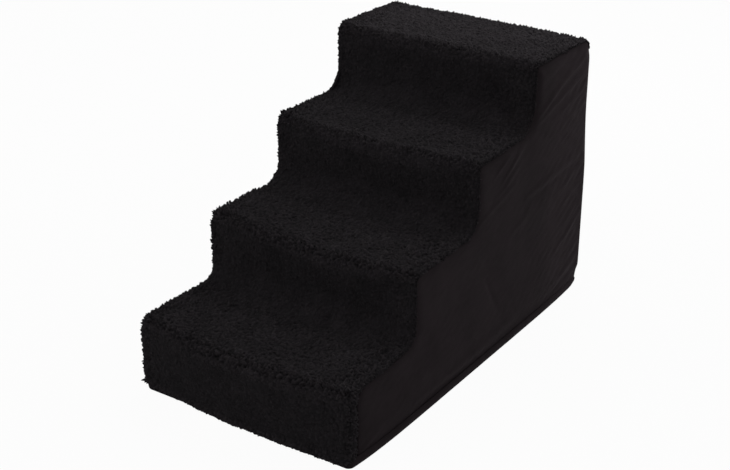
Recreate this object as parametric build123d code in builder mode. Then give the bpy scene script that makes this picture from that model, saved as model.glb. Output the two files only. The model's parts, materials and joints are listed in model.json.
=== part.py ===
"""Four-step foam pet stairs in a zipped cover: sherpa strip, smooth sides, grip base.

Frame: X across the stairs, front towards -Y, Z up, origin under the middle at the floor.
"""

import os
from math import hypot

from build123d import *

os.makedirs("parts", exist_ok=True)

# Overall sizes of the covered stairs, in millimetres; there is one foam slab for each step
width = 400
first_rise = 134
step_rise = 117
step_run = 183
top_run = 196
slab_names = ["foam_slab_base", "foam_slab_second", "foam_slab_third", "foam_slab_top"]
step_count = len(slab_names)

# Cover fabrics: the sherpa's pile stands proud of the smooth panels sewn to its edges
pile_thickness = 9
panel_thickness = 2
pile_overhang = 2
edge_round = 1.2
round_limit_share = 0.8

# Plump form of the sherpa strip: its middle stands out past its two drawn-in ends
nose_bow = 12
foot_bow = 4
nose_droop = 5
step_bow_shares = [1, 1, 0.9, 0.3]
place_shares = [-0.85, -0.6, 0, 0.6, 0.85]
place_bow_shares = [0.3, 0.7, 1, 0.7, 0.3]
end_draw = 5
end_round_width = 13
nose_radius_end = 12
nose_radius_middle = 26
tread_radius = 28
rear_radius = 7
hem_hang = 6

# Seam of the side panels: the sherpa wraps round on to them at the first step
seam_wrap = 18
seam_nose_radius = 4
seam_first_radius = 26

# Pull folds on the right-hand panel, from the top step's inner corner to the rear edge, as
# shares of that step's run behind its riser and of its rise over the tread in front
fold_width = 13
fold_height = 1.7
fold_start_shares = [(0.08, 0.17), (0.33, 0.4)]
fold_end_shares = [(0.93, 0.48), (0.92, 0.68)]

# Base with its turned-up rim, the thicker hem that it stands on, and the printed dots
base_thickness = 2
rim_height = 14
rim_round = 3
rim_corner_radius = 9
base_hem_width = 12
dot_height = 1
dot_radius = 4
dot_spacing = 44
dot_clearance = 8

# Zip across the back
zip_height = 62
zip_end_margin = 20
window_clearance = 3.5
tape_lap = 9
tape_thickness = 0.8
coil_width = 2.6
coil_thickness = 1.6
coil_pitch = 3
head_length = 1.5
head_depth = 1.1
stop_length = 4
stop_rise = 0.6
stop_round = 0.6

# Zip slider and its pull
running_gap = 0.3
slider_length = 12
slider_plate = 1
slider_wall = 0.9
slider_round = 1.5
post_length = 2
post_half_width = 0.4
bridge_length = 8
bridge_width = 2.2
bridge_wall = 0.9
pin_radius = 0.65
pull_length = 26
pull_width = 7.5
pull_arm = 1.3
pull_clearance = 1.2
pull_round = 1.5
pull_hole_radius = 1.6

# One overrun for every cut that leaves a solid
overrun = 5

# Foam and cover places worked out from the sizes above
foam_half_width = width / 2 - pile_overhang - panel_thickness
foam_bottom = dot_height + base_thickness
foam_depth = (step_count - 1) * step_run + top_run - pile_thickness - panel_thickness
foam_tops = [first_rise - pile_thickness + step * step_rise for step in range(step_count)]
hem_height = rim_height - hem_hang
rim_thickness = panel_thickness + pile_overhang
base_depth = foam_depth + 2 * rim_thickness

# Zip heights over the foam's back face, and its places along X
plate_height = tape_thickness + coil_thickness + running_gap
pin_height = running_gap + pin_radius
bridge_hole_height = 2 * pin_height
bridge_height = bridge_hole_height + bridge_wall
zip_standout = plate_height + slider_plate + bridge_height
bottom_plate_depth = running_gap + slider_plate
row_gap_half = post_half_width + running_gap
slider_half_width = row_gap_half + coil_width + running_gap + slider_wall
window_half = slider_half_width + window_clearance
chain_length = 2 * (foam_half_width - zip_end_margin)
row_length = chain_length - 2 * stop_length
slider_rest = row_length / 2 - running_gap - slider_length / 2

# The whole depth, from the plumpest front to the slider's bridge, is centred on the origin
overall_depth = nose_bow + pile_thickness + foam_depth + zip_standout
foam_back = overall_depth / 2 - zip_standout
foam_front = foam_back - foam_depth
foam_fronts = [foam_front + step * step_run for step in range(step_count)]
base_middle = (foam_front + foam_back) / 2


def stair_corners(bow, draw):
    """Corners of the sherpa's outer face at one place across the stairs, as (Y, Z)."""
    lift = pile_thickness - draw
    corners = [(foam_front - lift - foot_bow * bow, hem_height)]
    for step, step_bow_share in enumerate(step_bow_shares):
        nose_y = foam_fronts[step] - lift - nose_bow * bow * step_bow_share
        tread_z = foam_tops[step] + lift
        corners.append((nose_y, tread_z - nose_droop * bow * step_bow_share))
        if step + 1 < step_count:
            corners.append((foam_fronts[step + 1] - lift - foot_bow * bow, tread_z))
    rear_y = foam_back + panel_thickness + pile_overhang
    return corners + [(rear_y, foam_tops[-1] + lift), (rear_y, hem_height)]


def stair_radii(bow):
    """Radius at each corner that stair_corners gives."""
    nose = nose_radius_end + (nose_radius_middle - nose_radius_end) * bow
    return [0] + [nose, tread_radius] * (step_count - 1) + [nose, rear_radius, 0]


def core_corners(front_y, floor_z, rear_y):
    """Corners of the plain staircase of the foam, from its front foot to its rear foot."""
    corners = [(front_y, floor_z), (front_y, foam_tops[0])]
    for step in range(1, step_count):
        corners.append((foam_fronts[step], foam_tops[step - 1]))
        corners.append((foam_fronts[step], foam_tops[step]))
    return corners + [(rear_y, foam_tops[-1]), (rear_y, floor_z)]


def side_outline(rear_y):
    """Closed seam line of a side panel, set back at its front for the wrapped sherpa."""
    corners = core_corners(foam_front + seam_wrap, rim_height, rear_y)
    steps = [tread_radius + pile_thickness, seam_nose_radius] * (step_count - 1)
    radii = [0, seam_first_radius] + steps + [seam_nose_radius, 0]
    return FilletPolyline(corners, radius=radii, close=True)


def fold_point(shares):
    """A fold's end on the right-hand panel's outer face, from its run and rise shares."""
    run_share, rise_share = shares
    return Vector(
        foam_half_width + panel_thickness,
        foam_fronts[-1] + run_share * top_run,
        foam_tops[-2] + rise_share * step_rise,
    )


def finish(built, name):
    """Label one finished sub-part and write it to its own file."""
    built.part.label = name
    export_step(built.part, f"parts/{name}.step")


# Foam body: four slabs glued in a stack, each as thick as its step
slab_bottoms = [foam_bottom] + foam_tops[:-1]
for slab_name, front, bottom, top in zip(slab_names, foam_fronts, slab_bottoms, foam_tops):
    with BuildPart() as slab:
        with BuildSketch(Plane.XY.offset(bottom)):
            with Locations((0, (front + foam_back) / 2)):
                Rectangle(2 * foam_half_width, foam_back - front)
        extrude(amount=top - bottom)
        if bottom < zip_height < top:
            # the slider's lower plate presses this shallow channel into the foam
            with BuildSketch(Plane.XZ.offset(-foam_back)):
                with Locations((0, zip_height)):
                    Rectangle(chain_length, 2 * (slider_half_width + running_gap))
            extrude(amount=bottom_plate_depth + running_gap, mode=Mode.SUBTRACT)
    finish(slab, slab_name)

# Sherpa strip: a loft of stair outlines across the width, hollowed by the foam and the sides
sections = [(share * width / 2, bow, 0) for share, bow in zip(place_shares, place_bow_shares)]
for side in (-1, 1):
    sections.append((side * (width / 2 - end_round_width), 0, 0))
    sections.append((side * width / 2, 0, end_draw))
with BuildPart() as sherpa_runner:
    for place, bow, draw in sorted(sections):
        with BuildSketch(Plane.YZ.offset(place)):
            with BuildLine():
                FilletPolyline(stair_corners(bow, draw), radius=stair_radii(bow), close=True)
            make_face()
    loft()
    with BuildSketch(Plane.YZ.offset(-foam_half_width)):
        with BuildLine():
            Polyline(core_corners(foam_front, -overrun, foam_back + overrun), close=True)
        make_face()
    extrude(amount=2 * foam_half_width, mode=Mode.SUBTRACT)
    for side in (-1, 1):
        with BuildSketch(Plane.YZ.offset(side * foam_half_width)):
            with BuildLine():
                side_outline(foam_back + rim_thickness + overrun)
            make_face()
        extrude(amount=side * (rim_thickness + overrun), mode=Mode.SUBTRACT)
    with BuildSketch(Plane.XY):
        with Locations((0, base_middle)):
            Rectangle(width + 2 * overrun, base_depth)
    extrude(amount=rim_height, mode=Mode.SUBTRACT)
finish(sherpa_runner, "sherpa_runner")

# Side panels, with the pull folds that show on the right-hand one
for side, side_name in ((-1, "left_side_panel"), (1, "right_side_panel")):
    with BuildPart() as side_panel:
        with BuildSketch(Plane.YZ.offset(side * foam_half_width)):
            with BuildLine():
                side_outline(foam_back + panel_thickness)
            make_face()
        extrude(amount=side * panel_thickness)
        outer_face = side_panel.faces().filter_by(Axis.X).sort_by(Axis.X)[-1 if side > 0 else 0]
        fillet(outer_face.edges(), radius=min(edge_round, round_limit_share * panel_thickness))
        if side > 0:
            for start_share, end_share in zip(fold_start_shares, fold_end_shares):
                start, end = fold_point(start_share), fold_point(end_share)
                along = end - start
                across = Vector(0, -along.Z, along.Y)
                with BuildSketch(Plane((start + end) / 2, across, along)) as fold_section:
                    with BuildLine():
                        ThreePointArc((-fold_width / 2, 0), (0, fold_height), (fold_width / 2, 0))
                        Line((fold_width / 2, 0), (-fold_width / 2, 0))
                    make_face()
                loft([Vertex(*start), fold_section.sketch, Vertex(*end)])
    finish(side_panel, side_name)

# Base: grip cloth with a rim turned up all round, standing on the thicker hem along its edge
with BuildPart() as base_panel:
    with BuildSketch(Plane.XY):
        with Locations((0, base_middle)):
            RectangleRounded(width, base_depth, rim_corner_radius)
    extrude(amount=rim_height)
    with BuildSketch(Plane.XY.offset(foam_bottom)):
        with Locations((0, base_middle)):
            Rectangle(2 * foam_half_width, foam_depth)
    extrude(amount=rim_height, mode=Mode.SUBTRACT)
    with BuildSketch(Plane.XY):
        with Locations((0, base_middle)):
            Rectangle(width - 2 * base_hem_width, base_depth - 2 * base_hem_width)
    extrude(amount=dot_height, mode=Mode.SUBTRACT)
    rim_edges = base_panel.faces().filter_by(Axis.Z).sort_by(Axis.Z)[-1].outer_wire().edges()
    fillet(rim_edges, radius=min(rim_round, round_limit_share * rim_thickness))
finish(base_panel, "base_panel")

# Dots printed on the underside, down to the level of the hem
dot_inset = base_hem_width + dot_clearance + dot_radius
dots_across = int((width - 2 * dot_inset) // dot_spacing) + 1
dots_along = int((base_depth - 2 * dot_inset) // dot_spacing) + 1
with BuildPart() as grip_dots:
    with BuildSketch(Plane.XY):
        with Locations((0, base_middle)):
            with GridLocations(dot_spacing, dot_spacing, dots_across, dots_along):
                Circle(dot_radius)
    extrude(amount=dot_height)
finish(grip_dots, "grip_dots")

# Back of the cover, in two parts with the zip between; each laps over its zip tape
back_parts = (
    ("back_panel_upper", zip_height + window_half, foam_tops[-1], 1),
    ("back_panel_lower", rim_height, zip_height - window_half, -1),
)
lap_round = min(edge_round / 2, round_limit_share * (panel_thickness - tape_thickness))
for panel_name, bottom, top, up in back_parts:
    lap_middle = zip_height + up * (window_half + tape_lap / 2)
    with BuildPart() as back_panel:
        with BuildSketch(Plane.XZ.offset(-foam_back)):
            with Locations((0, (bottom + top) / 2)):
                Rectangle(2 * foam_half_width, top - bottom)
        extrude(amount=-panel_thickness)
        with BuildSketch(Plane.XZ.offset(-foam_back)):
            with Locations((0, lap_middle)):
                Rectangle(2 * foam_half_width, tape_lap)
        extrude(amount=-tape_thickness, mode=Mode.SUBTRACT)
        outer_edges = back_panel.faces().filter_by(Axis.Y).sort_by(Axis.Y)[-1].edges()
        fillet(outer_edges.filter_by(Axis.X), radius=lap_round)
    finish(back_panel, panel_name)

# Zip: a tape and a row of meshing heads on each side of the centre line
tape_outer = window_half + tape_lap
head_count = int(row_length // coil_pitch)
for row_name, up in (("upper", 1), ("lower", -1)):
    with BuildPart() as zip_tape:
        with BuildSketch(Plane.XZ.offset(-foam_back)):
            with Locations((0, zip_height + up * (row_gap_half + tape_outer) / 2)):
                Rectangle(2 * foam_half_width, tape_outer - row_gap_half)
        extrude(amount=-tape_thickness)
    finish(zip_tape, f"zip_tape_{row_name}")

    row_inner = zip_height + up * row_gap_half
    with BuildPart() as zip_coil:
        with BuildSketch(Plane.XZ.offset(-foam_back - tape_thickness)):
            with Locations((0, row_inner + up * (head_depth + coil_width) / 2)):
                Rectangle(row_length, coil_width - head_depth)
            with Locations((up * coil_pitch / 4, row_inner + up * head_depth / 2)):
                with GridLocations(coil_pitch, coil_width, head_count, 1):
                    Rectangle(head_length, head_depth)
        extrude(amount=-coil_thickness)
    finish(zip_coil, f"zip_coil_{row_name}")

# Stops at the zip's ends: a pair where it closes, one across both rows where it opens
stop_place = (chain_length - stop_length) / 2
stop_middle = row_gap_half + coil_width / 2
stop_height = coil_thickness + stop_rise
with BuildPart() as zip_end_stops:
    with BuildSketch(Plane.XZ.offset(-foam_back - tape_thickness)):
        for up in (1, -1):
            with Locations((stop_place, zip_height + up * stop_middle)):
                RectangleRounded(stop_length, coil_width, stop_round)
    extrude(amount=-stop_height)
finish(zip_end_stops, "zip_end_stops")

with BuildPart() as zip_bottom_stop:
    with BuildSketch(Plane.XZ.offset(-foam_back - tape_thickness)):
        with Locations((-stop_place, zip_height)):
            RectangleRounded(stop_length, 2 * (row_gap_half + coil_width), stop_round)
    extrude(amount=-stop_height)
finish(zip_bottom_stop, "zip_bottom_stop")

# Slider: two plates round the rows, held together by a post at its nose, under a bridge
plate_level = foam_back + plate_height
plate_top = plate_level + slider_plate
wall_foot = foam_back + tape_thickness + running_gap
wall_middle = slider_half_width - slider_wall / 2
post_place = slider_rest + (slider_length - post_length) / 2
with BuildPart() as zip_slider:
    for plate_foot in (plate_level, foam_back - bottom_plate_depth):
        with BuildSketch(Plane.XZ.offset(-plate_foot)):
            with Locations((slider_rest, zip_height)):
                RectangleRounded(slider_length, 2 * slider_half_width, slider_round)
        extrude(amount=-slider_plate)
    with BuildSketch(Plane.XZ.offset(-wall_foot)):
        for up in (1, -1):
            with Locations((slider_rest, zip_height + up * wall_middle)):
                Rectangle(slider_length - 2 * slider_round, slider_wall)
    extrude(amount=wall_foot - plate_level)
    with BuildSketch(Plane.XZ.offset(running_gap - foam_back)):
        with Locations((post_place, zip_height)):
            Rectangle(post_length, 2 * post_half_width)
    extrude(amount=-plate_height - running_gap)
    with BuildSketch(Plane.XY.offset(zip_height - bridge_width / 2)):
        with Locations((slider_rest, plate_top)):
            on_plate = (Align.CENTER, Align.MIN)
            hole_length = bridge_length - 2 * bridge_wall
            Rectangle(bridge_length, bridge_height, align=on_plate)
            Rectangle(hole_length, bridge_hole_height, align=on_plate, mode=Mode.SUBTRACT)
    extrude(amount=bridge_width)
finish(zip_slider, "zip_slider")

# Pull: a tab whose window goes round the bridge and whose pin lies under it
pin_level = plate_top + pin_height
pin_length = bridge_width + 2 * running_gap
neck_half = pin_length / 2 + pull_arm
bridge_reach = hypot(bridge_length / 2, bridge_height - pin_height)
window_end = slider_rest - bridge_reach - pull_clearance
window_length = slider_rest + pin_radius - window_end
pull_tip = slider_rest - pull_length
with BuildPart() as zip_pull:
    with BuildSketch(Plane.XZ.offset(pin_radius - pin_level)):
        with BuildLine():
            Polyline(
                (slider_rest + pin_radius, zip_height - neck_half),
                (slider_rest + pin_radius, zip_height + neck_half),
                (window_end, zip_height + neck_half),
                (pull_tip, zip_height + pull_width / 2),
                (pull_tip, zip_height - pull_width / 2),
                (window_end, zip_height - neck_half),
                close=True,
            )
        make_face()
        with Locations((window_end + window_length / 2, zip_height)):
            Rectangle(window_length, pin_length, mode=Mode.SUBTRACT)
        with Locations((pull_tip + pull_width / 2, zip_height)):
            Circle(pull_hole_radius, mode=Mode.SUBTRACT)
    extrude(amount=-2 * pin_radius)
    fillet(zip_pull.edges().filter_by(Axis.Y).group_by(Axis.X)[0], radius=pull_round)
    with BuildSketch(Plane.XY.offset(zip_height - pin_length / 2)):
        with Locations((slider_rest, pin_level)):
            Circle(pin_radius)
    extrude(amount=pin_length)
finish(zip_pull, "zip_pull")
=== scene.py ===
"""Looks of the foam pet stairs: pile, cloth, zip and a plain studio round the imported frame."""

import json
import logging
import math
from dataclasses import dataclass, field
from enum import Enum
from typing import Any, Callable, Sequence

import bpy
import numpy as np
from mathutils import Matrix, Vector
from mathutils.geometry import delaunay_2d_cdt


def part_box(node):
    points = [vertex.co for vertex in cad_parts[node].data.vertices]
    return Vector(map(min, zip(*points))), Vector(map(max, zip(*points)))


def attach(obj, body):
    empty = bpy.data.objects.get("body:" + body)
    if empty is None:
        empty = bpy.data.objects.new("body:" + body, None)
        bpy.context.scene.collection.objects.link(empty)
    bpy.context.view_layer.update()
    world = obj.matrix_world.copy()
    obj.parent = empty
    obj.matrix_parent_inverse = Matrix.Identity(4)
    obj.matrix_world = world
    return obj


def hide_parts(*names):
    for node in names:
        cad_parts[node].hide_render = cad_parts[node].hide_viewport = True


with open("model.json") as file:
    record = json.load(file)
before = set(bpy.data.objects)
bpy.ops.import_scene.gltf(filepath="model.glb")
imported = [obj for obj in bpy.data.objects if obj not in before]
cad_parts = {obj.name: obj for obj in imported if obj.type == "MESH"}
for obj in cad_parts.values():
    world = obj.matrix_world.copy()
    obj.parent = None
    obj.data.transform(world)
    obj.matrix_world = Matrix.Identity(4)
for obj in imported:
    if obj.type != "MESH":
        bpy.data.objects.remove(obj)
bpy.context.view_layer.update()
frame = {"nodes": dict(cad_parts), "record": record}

LOG = logging.getLogger("pet_stairs")
SLABS = ("foam_slab_base", "foam_slab_second", "foam_slab_third", "foam_slab_top")
BODY = "stairs"
# How far the cover's foot bows out, and how far from the middle it still does
FOOT_BOW = 0.0072
FOOT_REACH = 0.368
# Distances of the stitches from a back panel's edge at the zip
STITCH_ROWS = (0.002, 0.007)
# How much lower than its solid the upper back panel ends, and higher the lower one starts
UPPER_TRIM = 0.0155
RIM_GAP = 0.0004
WHITE = (1, 1, 1, 1)
Colour = tuple[float, float, float]
# A start and a run, a depth and a width, a size and a wavelength, or a row of a matrix
Pair = tuple[float, float]


# Shader maths


class Field:
    """A value that changes over a surface: one output socket, with Python's operators."""

    def __init__(self, graph: "Graph", socket: bpy.types.NodeSocket) -> None:
        """Keep the graph that new nodes go into, and the socket that carries the value."""
        self.graph = graph
        self.socket = socket

    def _maths(self, operation: str, *terms: "Field | float") -> "Field":
        """The value of one Math node on the given terms."""
        return self.graph.value("ShaderNodeMath", {"operation": operation}, dict(enumerate(terms)))

    def __add__(self, other: "Field | float") -> "Field":
        """Sum."""
        return self._maths("ADD", self, other)

    def __radd__(self, other: float) -> "Field":
        """Sum with a number on the left."""
        return self._maths("ADD", other, self)

    def __sub__(self, other: "Field | float") -> "Field":
        """Difference."""
        return self._maths("SUBTRACT", self, other)

    def __rsub__(self, other: float) -> "Field":
        """Difference from a number."""
        return self._maths("SUBTRACT", other, self)

    def __mul__(self, other: "Field | float") -> "Field":
        """Product."""
        return self._maths("MULTIPLY", self, other)

    def __rmul__(self, other: float) -> "Field":
        """Product with a number on the left."""
        return self._maths("MULTIPLY", other, self)

    def __truediv__(self, other: "Field | float") -> "Field":
        """Quotient."""
        return self._maths("DIVIDE", self, other)

    def __pow__(self, other: float) -> "Field":
        """Power."""
        return self._maths("POWER", self, other)

    def __abs__(self) -> "Field":
        """Size without sign."""
        return self._maths("ABSOLUTE", self)

    def sine(self) -> "Field":
        """Sine of a value in radians."""
        return self._maths("SINE", self)

    def most(self, other: "Field | float") -> "Field":
        """The larger of two values."""
        return self._maths("MAXIMUM", self, other)

    def between(self, low: float, high: float) -> "Field":
        """A smooth step from 0 at low to 1 at high."""
        return self.graph.value(
            "ShaderNodeMapRange",
            {"interpolation_type": "SMOOTHSTEP"},
            {"Value": self, "From Min": low, "From Max": high},
        )


class Graph:
    """The shader tree of one material or world, built from expressions."""

    def __init__(self, name: str, world: bool = False) -> None:
        """Start a material or a world with its output.

        Args:
            name: its name.
            world: whether it is a world.
        """
        self.owner = (bpy.data.worlds if world else bpy.data.materials).new(name)
        self.owner.use_nodes = True
        self.tree = self.owner.node_tree
        self.tree.nodes.clear()
        self.output = self.node("ShaderNodeOutputWorld" if world else "ShaderNodeOutputMaterial")

    def node(
        self, kind: str, settings: dict[str, Any] | None = None, inputs: dict | None = None
    ) -> bpy.types.Node:
        """Add any node.

        Args:
            kind: the node's type.
            settings: its own settings, set before the inputs.
            inputs: values, sockets or fields for its inputs, by name or place.

        Returns:
            The new node.
        """
        made = self.tree.nodes.new(kind)
        for key, value in (settings or {}).items():
            setattr(made, key, value)
        for key, value in (inputs or {}).items():
            target = made.inputs[key]
            source = value.socket if isinstance(value, Field) else value
            if isinstance(source, bpy.types.NodeSocket):
                self.tree.links.new(source, target)
            else:
                target.default_value = source
        return made

    def value(
        self, kind: str, settings: dict[str, Any] | None = None, inputs: dict | None = None
    ) -> Field:
        """Add a node, as in node(), and take its first output as a field."""
        return Field(self, self.node(kind, settings, inputs).outputs[0])

    def place(self, scale: Sequence[float] = (1, 1, 1), turn: Sequence[float] = (0, 0, 0)) -> Field:
        """Object coordinates, stretched along each axis and turned about it, in radians."""
        coordinates = self.node("ShaderNodeTexCoord").outputs["Object"]
        return self.value(
            "ShaderNodeMapping",
            {"vector_type": "POINT"},
            {"Vector": coordinates, "Scale": tuple(scale), "Rotation": tuple(turn)},
        )

    def noise(
        self, place: Field, scale: float, detail: float = 2, roughness: float = 0.5, bend: float = 0
    ) -> Field:
        """Soft noise from 0 to 1.

        Args:
            place: the coordinates that it reads.
            scale: how many lumps to a metre.
            detail: how many finer layers it has.
            roughness: how strong the finer layers are.
            bend: how far the pattern is distorted.

        Returns:
            The noise.
        """
        return self.value(
            "ShaderNodeTexNoise",
            {"noise_dimensions": "3D"},
            {
                "Vector": place,
                "Scale": scale,
                "Detail": detail,
                "Roughness": roughness,
                "Distortion": bend,
            },
        )

    def cells(self, place: Field, scale: float) -> Field:
        """Distance to the nearest of many scattered points, with scale cells to a metre."""
        return self.value(
            "ShaderNodeTexVoronoi", {"feature": "F1"}, {"Vector": place, "Scale": scale}
        )

    def axes(self, place: Field) -> tuple[Field, Field, Field]:
        """The X, Y and Z parts of a coordinate."""
        parts = self.node("ShaderNodeSeparateXYZ", None, {0: place}).outputs
        return Field(self, parts[0]), Field(self, parts[1]), Field(self, parts[2])

    def blend(self, share: Field, low: Colour, high: Colour) -> Field:
        """A colour between two, by a share from 0 to 1.

        Args:
            share: 0 for the first colour, 1 for the second.
            low: the first colour.
            high: the second colour.

        Returns:
            The mixed colour.
        """
        mixed = self.node("ShaderNodeMix", {"data_type": "RGBA"}, {0: share})
        mixed.inputs[6].default_value = (*low, 1)
        mixed.inputs[7].default_value = (*high, 1)
        return Field(self, mixed.outputs[2])

    def bump(self, height: Field, distance: float, strength: float, under: Field | None = None) -> Field:
        """A normal from a height.

        Args:
            height: the height, from 0 to 1.
            distance: the depth in metres of a height of 1.
            strength: how much of the bump shows.
            under: a coarser bump that this one lies on.

        Returns:
            The bent normal.
        """
        inputs: dict[str, Any] = {"Height": height, "Distance": distance, "Strength": strength}
        if under is not None:
            inputs["Normal"] = under
        return self.value("ShaderNodeBump", None, inputs)

    def surface(self, **inputs: Any) -> bpy.types.Material:
        """Finish the material with one shader, its inputs named with underscores for spaces."""
        named = {key.replace("_", " "): value for key, value in inputs.items()}
        return self.finish(self.node("ShaderNodeBsdfPrincipled", None, named))

    def finish(self, shader: bpy.types.Node) -> bpy.types.ID:
        """Join the last shader to the output, and return the finished material or world."""
        self.tree.links.new(shader.outputs[0], self.output.inputs["Surface"])
        return self.owner

    def mix(self, share: Field, first: bpy.types.Node, second: bpy.types.Node) -> bpy.types.Node:
        """The first shader where the share is 0, and the second where it is 1."""
        inputs = {0: share, 1: first.outputs[0], 2: second.outputs[0]}
        return self.node("ShaderNodeMixShader", None, inputs)

    def seen(self) -> Field:
        """1 for what the camera sees, also in a mirror or through glass, and 0 for other light."""
        rays = self.node("ShaderNodeLightPath").outputs
        share = Field(self, rays["Is Camera Ray"])
        for kind in ("Is Glossy Ray", "Is Transmission Ray"):
            share = share.most(Field(self, rays[kind]))
        return share


# Finishes


@dataclass(frozen=True)
class PileFinish:
    """Black curly pile, painted dark between the tufts as painted shade and a little lighter on their
    tips as painted light.
    """

    # Painted shade at the roots between the tufts, painted light on the tips
    shaded_root: Colour = (0.0054, 0.0049, 0.0056)
    lit_tip: Colour = (0.0366, 0.0315, 0.0352)
    curl_scale: float = 620
    fibre_scale: float = 2600
    sheen: float = 0.03

    def make(self) -> bpy.types.Material:
        """Build the material."""
        graph = Graph("pile_black")
        place = graph.place()
        # The stored tone carries painted shade between the tufts and the pile's painted light and shade
        stored = graph.node("ShaderNodeAttribute", {"attribute_name": "pile_tone_and_painted_light"})
        height = Field(graph, stored.outputs["Fac"])
        strand = graph.place((1, 0.4, 0.8))
        curl = graph.noise(strand, self.curl_scale, 2, 0.55, 0.7)
        ridge = 1 - abs(curl * 2 - 1) * 1.6
        fibre = graph.noise(strand, self.fibre_scale, 1)
        patch = graph.noise(place, 26, 2)
        lit = height * 0.8 + (ridge - 0.5) * 0.25 + (fibre - 0.5) * 0.25 + (patch - 0.5) * 0.3
        coarse = graph.bump(ridge, 0.0011, 0.6)
        return graph.surface(
            Base_Color=graph.blend(lit.between(0.1, 1.0), self.shaded_root, self.lit_tip),
            Roughness=0.93,
            Specular_IOR_Level=0.03,
            Sheen_Weight=self.sheen,
            Sheen_Roughness=0.6,
            Normal=graph.bump(fibre, 0.0004, 0.5, coarse),
        )


@dataclass(frozen=True)
class SuedeFinish:
    """Black suede-like cloth: a short soft nap with faint patches where it lies differently, and painted
    light that makes it paler towards the rear.
    """

    name: str = "suede_black"
    dark: Colour = (0.0100, 0.0076, 0.0086)
    light: Colour = (0.0224, 0.0172, 0.0194)
    grain_scale: float = 1500
    # Where the painted light towards the rear starts, and how fast it grows
    rear_light_start: float = 0.23
    rear_light_rate: float = 1.6
    sheen: float = 0.03

    def make(self) -> bpy.types.Material:
        """Build the material."""
        graph = Graph(self.name)
        place = graph.place()
        patches = graph.noise(place, 9, 3, 0.6, 0.4)
        clouds = graph.noise(graph.place((1, 1, 0.6)), 34, 3, 0.6)
        streaks = graph.noise(graph.place((1, 0.25, 1.5), (math.radians(18), 0, 0)), 60, 3, 0.6)
        grain = graph.noise(place, self.grain_scale, 2, 0.6)
        # Painted light: the cloth is painted paler towards the rear
        paler = ((graph.axes(place)[1] - self.rear_light_start) * self.rear_light_rate).between(-0.05, 0.2)
        share = patches * 0.5 + clouds * 0.3 + streaks * 0.25 + (grain - 0.5) * 0.3
        share = share.between(0.2, 0.85) + paler
        return graph.surface(
            Base_Color=graph.blend(share, self.dark, self.light),
            Roughness=0.86 + (patches - 0.5) * 0.1,
            Specular_IOR_Level=0.05,
            Sheen_Weight=self.sheen,
            Sheen_Roughness=0.45,
            Sheen_Tint=(0.95, 0.8, 0.86, 1),
            Normal=graph.bump(grain, 0.00035, 0.45),
        )


@dataclass(frozen=True)
class GripClothFinish:
    """Black plain-weave cloth of the underside."""

    dark: Colour = (0.007, 0.0068, 0.007)
    light: Colour = (0.016, 0.0155, 0.016)
    thread: float = 0.0011

    def make(self) -> bpy.types.Material:
        """Build the material."""
        graph = Graph("grip_cloth_black")
        place = graph.place()
        across, along, _ = graph.axes(place)
        turns = 2 * math.pi / self.thread
        weave = (across * turns).sine() * (along * turns).sine() * 0.5 + 0.5
        wear = graph.noise(place, 14, 3)
        share = (weave * 0.5 + wear * 0.5).between(0.15, 0.9)
        return graph.surface(
            Base_Color=graph.blend(share, self.dark, self.light),
            Roughness=0.82 + wear * 0.1,
            Specular_IOR_Level=0.2,
            Normal=graph.bump(weave, 0.0003, 0.5),
        )


@dataclass(frozen=True)
class RubberDotFinish:
    """Black rubber of the printed grip dots, dulled by the floor."""

    dark: Colour = (0.012, 0.012, 0.0125)
    light: Colour = (0.03, 0.029, 0.028)

    def make(self) -> bpy.types.Material:
        """Build the material."""
        graph = Graph("rubber_dot_black")
        dust = graph.noise(graph.place(), 160, 3, 0.6)
        return graph.surface(
            Base_Color=graph.blend(dust.between(0.45, 0.8), self.dark, self.light),
            Roughness=0.42 + dust * 0.3,
            Specular_IOR_Level=0.4,
            Normal=graph.bump(dust, 0.0001, 0.3),
        )


@dataclass(frozen=True)
class TapeFinish:
    """Black woven zip tape with a herringbone weave."""

    dark: Colour = (0.006, 0.006, 0.0062)
    light: Colour = (0.02, 0.0195, 0.02)
    rib: float = 0.0012

    def make(self) -> bpy.types.Material:
        """Build the material."""
        graph = Graph("zip_tape_black")
        place = graph.place()
        along, _, up = graph.axes(place)
        turns = 2 * math.pi / self.rib
        zigzag = abs((up * (turns / 8)).sine()) * 3
        rib = ((along * turns + zigzag).sine() + 1) * 0.5
        fuzz = graph.noise(place, 1800, 2)
        share = (rib * 0.7 + fuzz * 0.3).between(0.1, 0.9)
        return graph.surface(
            Base_Color=graph.blend(share, self.dark, self.light),
            Roughness=0.8 - rib * 0.15,
            Specular_IOR_Level=0.25,
            Normal=graph.bump(rib, 0.0002, 0.6),
        )


@dataclass(frozen=True)
class CoilFinish:
    """Black nylon of the zip's coils."""

    base: Colour = (0.012, 0.012, 0.0125)
    paler: Colour = (0.03, 0.03, 0.031)

    def make(self) -> bpy.types.Material:
        """Build the material."""
        graph = Graph("zip_coil_black")
        wear = graph.noise(graph.place(), 900, 2)
        return graph.surface(
            Base_Color=graph.blend(wear.between(0.5, 0.8), self.base, self.paler),
            Roughness=0.3 + wear * 0.2,
            Specular_IOR_Level=0.5,
            Normal=graph.bump(wear, 0.00005, 0.4),
        )


@dataclass(frozen=True)
class EnamelFinish:
    """Black enamel on the zip's metal, with faint rubbed patches."""

    base: Colour = (0.014, 0.014, 0.0145)
    rubbed: Colour = (0.10, 0.098, 0.095)

    def make(self) -> bpy.types.Material:
        """Build the material."""
        graph = Graph("zip_enamel_black")
        place = graph.place()
        scuff = graph.noise(place, 420, 4, 0.65)
        speck = graph.noise(place, 2400, 2)
        share = (scuff * 0.8 + speck * 0.2).between(0.6, 0.78)
        return graph.surface(
            Base_Color=graph.blend(share, self.base, self.rubbed),
            Roughness=0.28 + scuff * 0.25,
            Metallic=share * 0.6,
            Normal=graph.bump(scuff, 0.00006, 0.5),
        )


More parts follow.
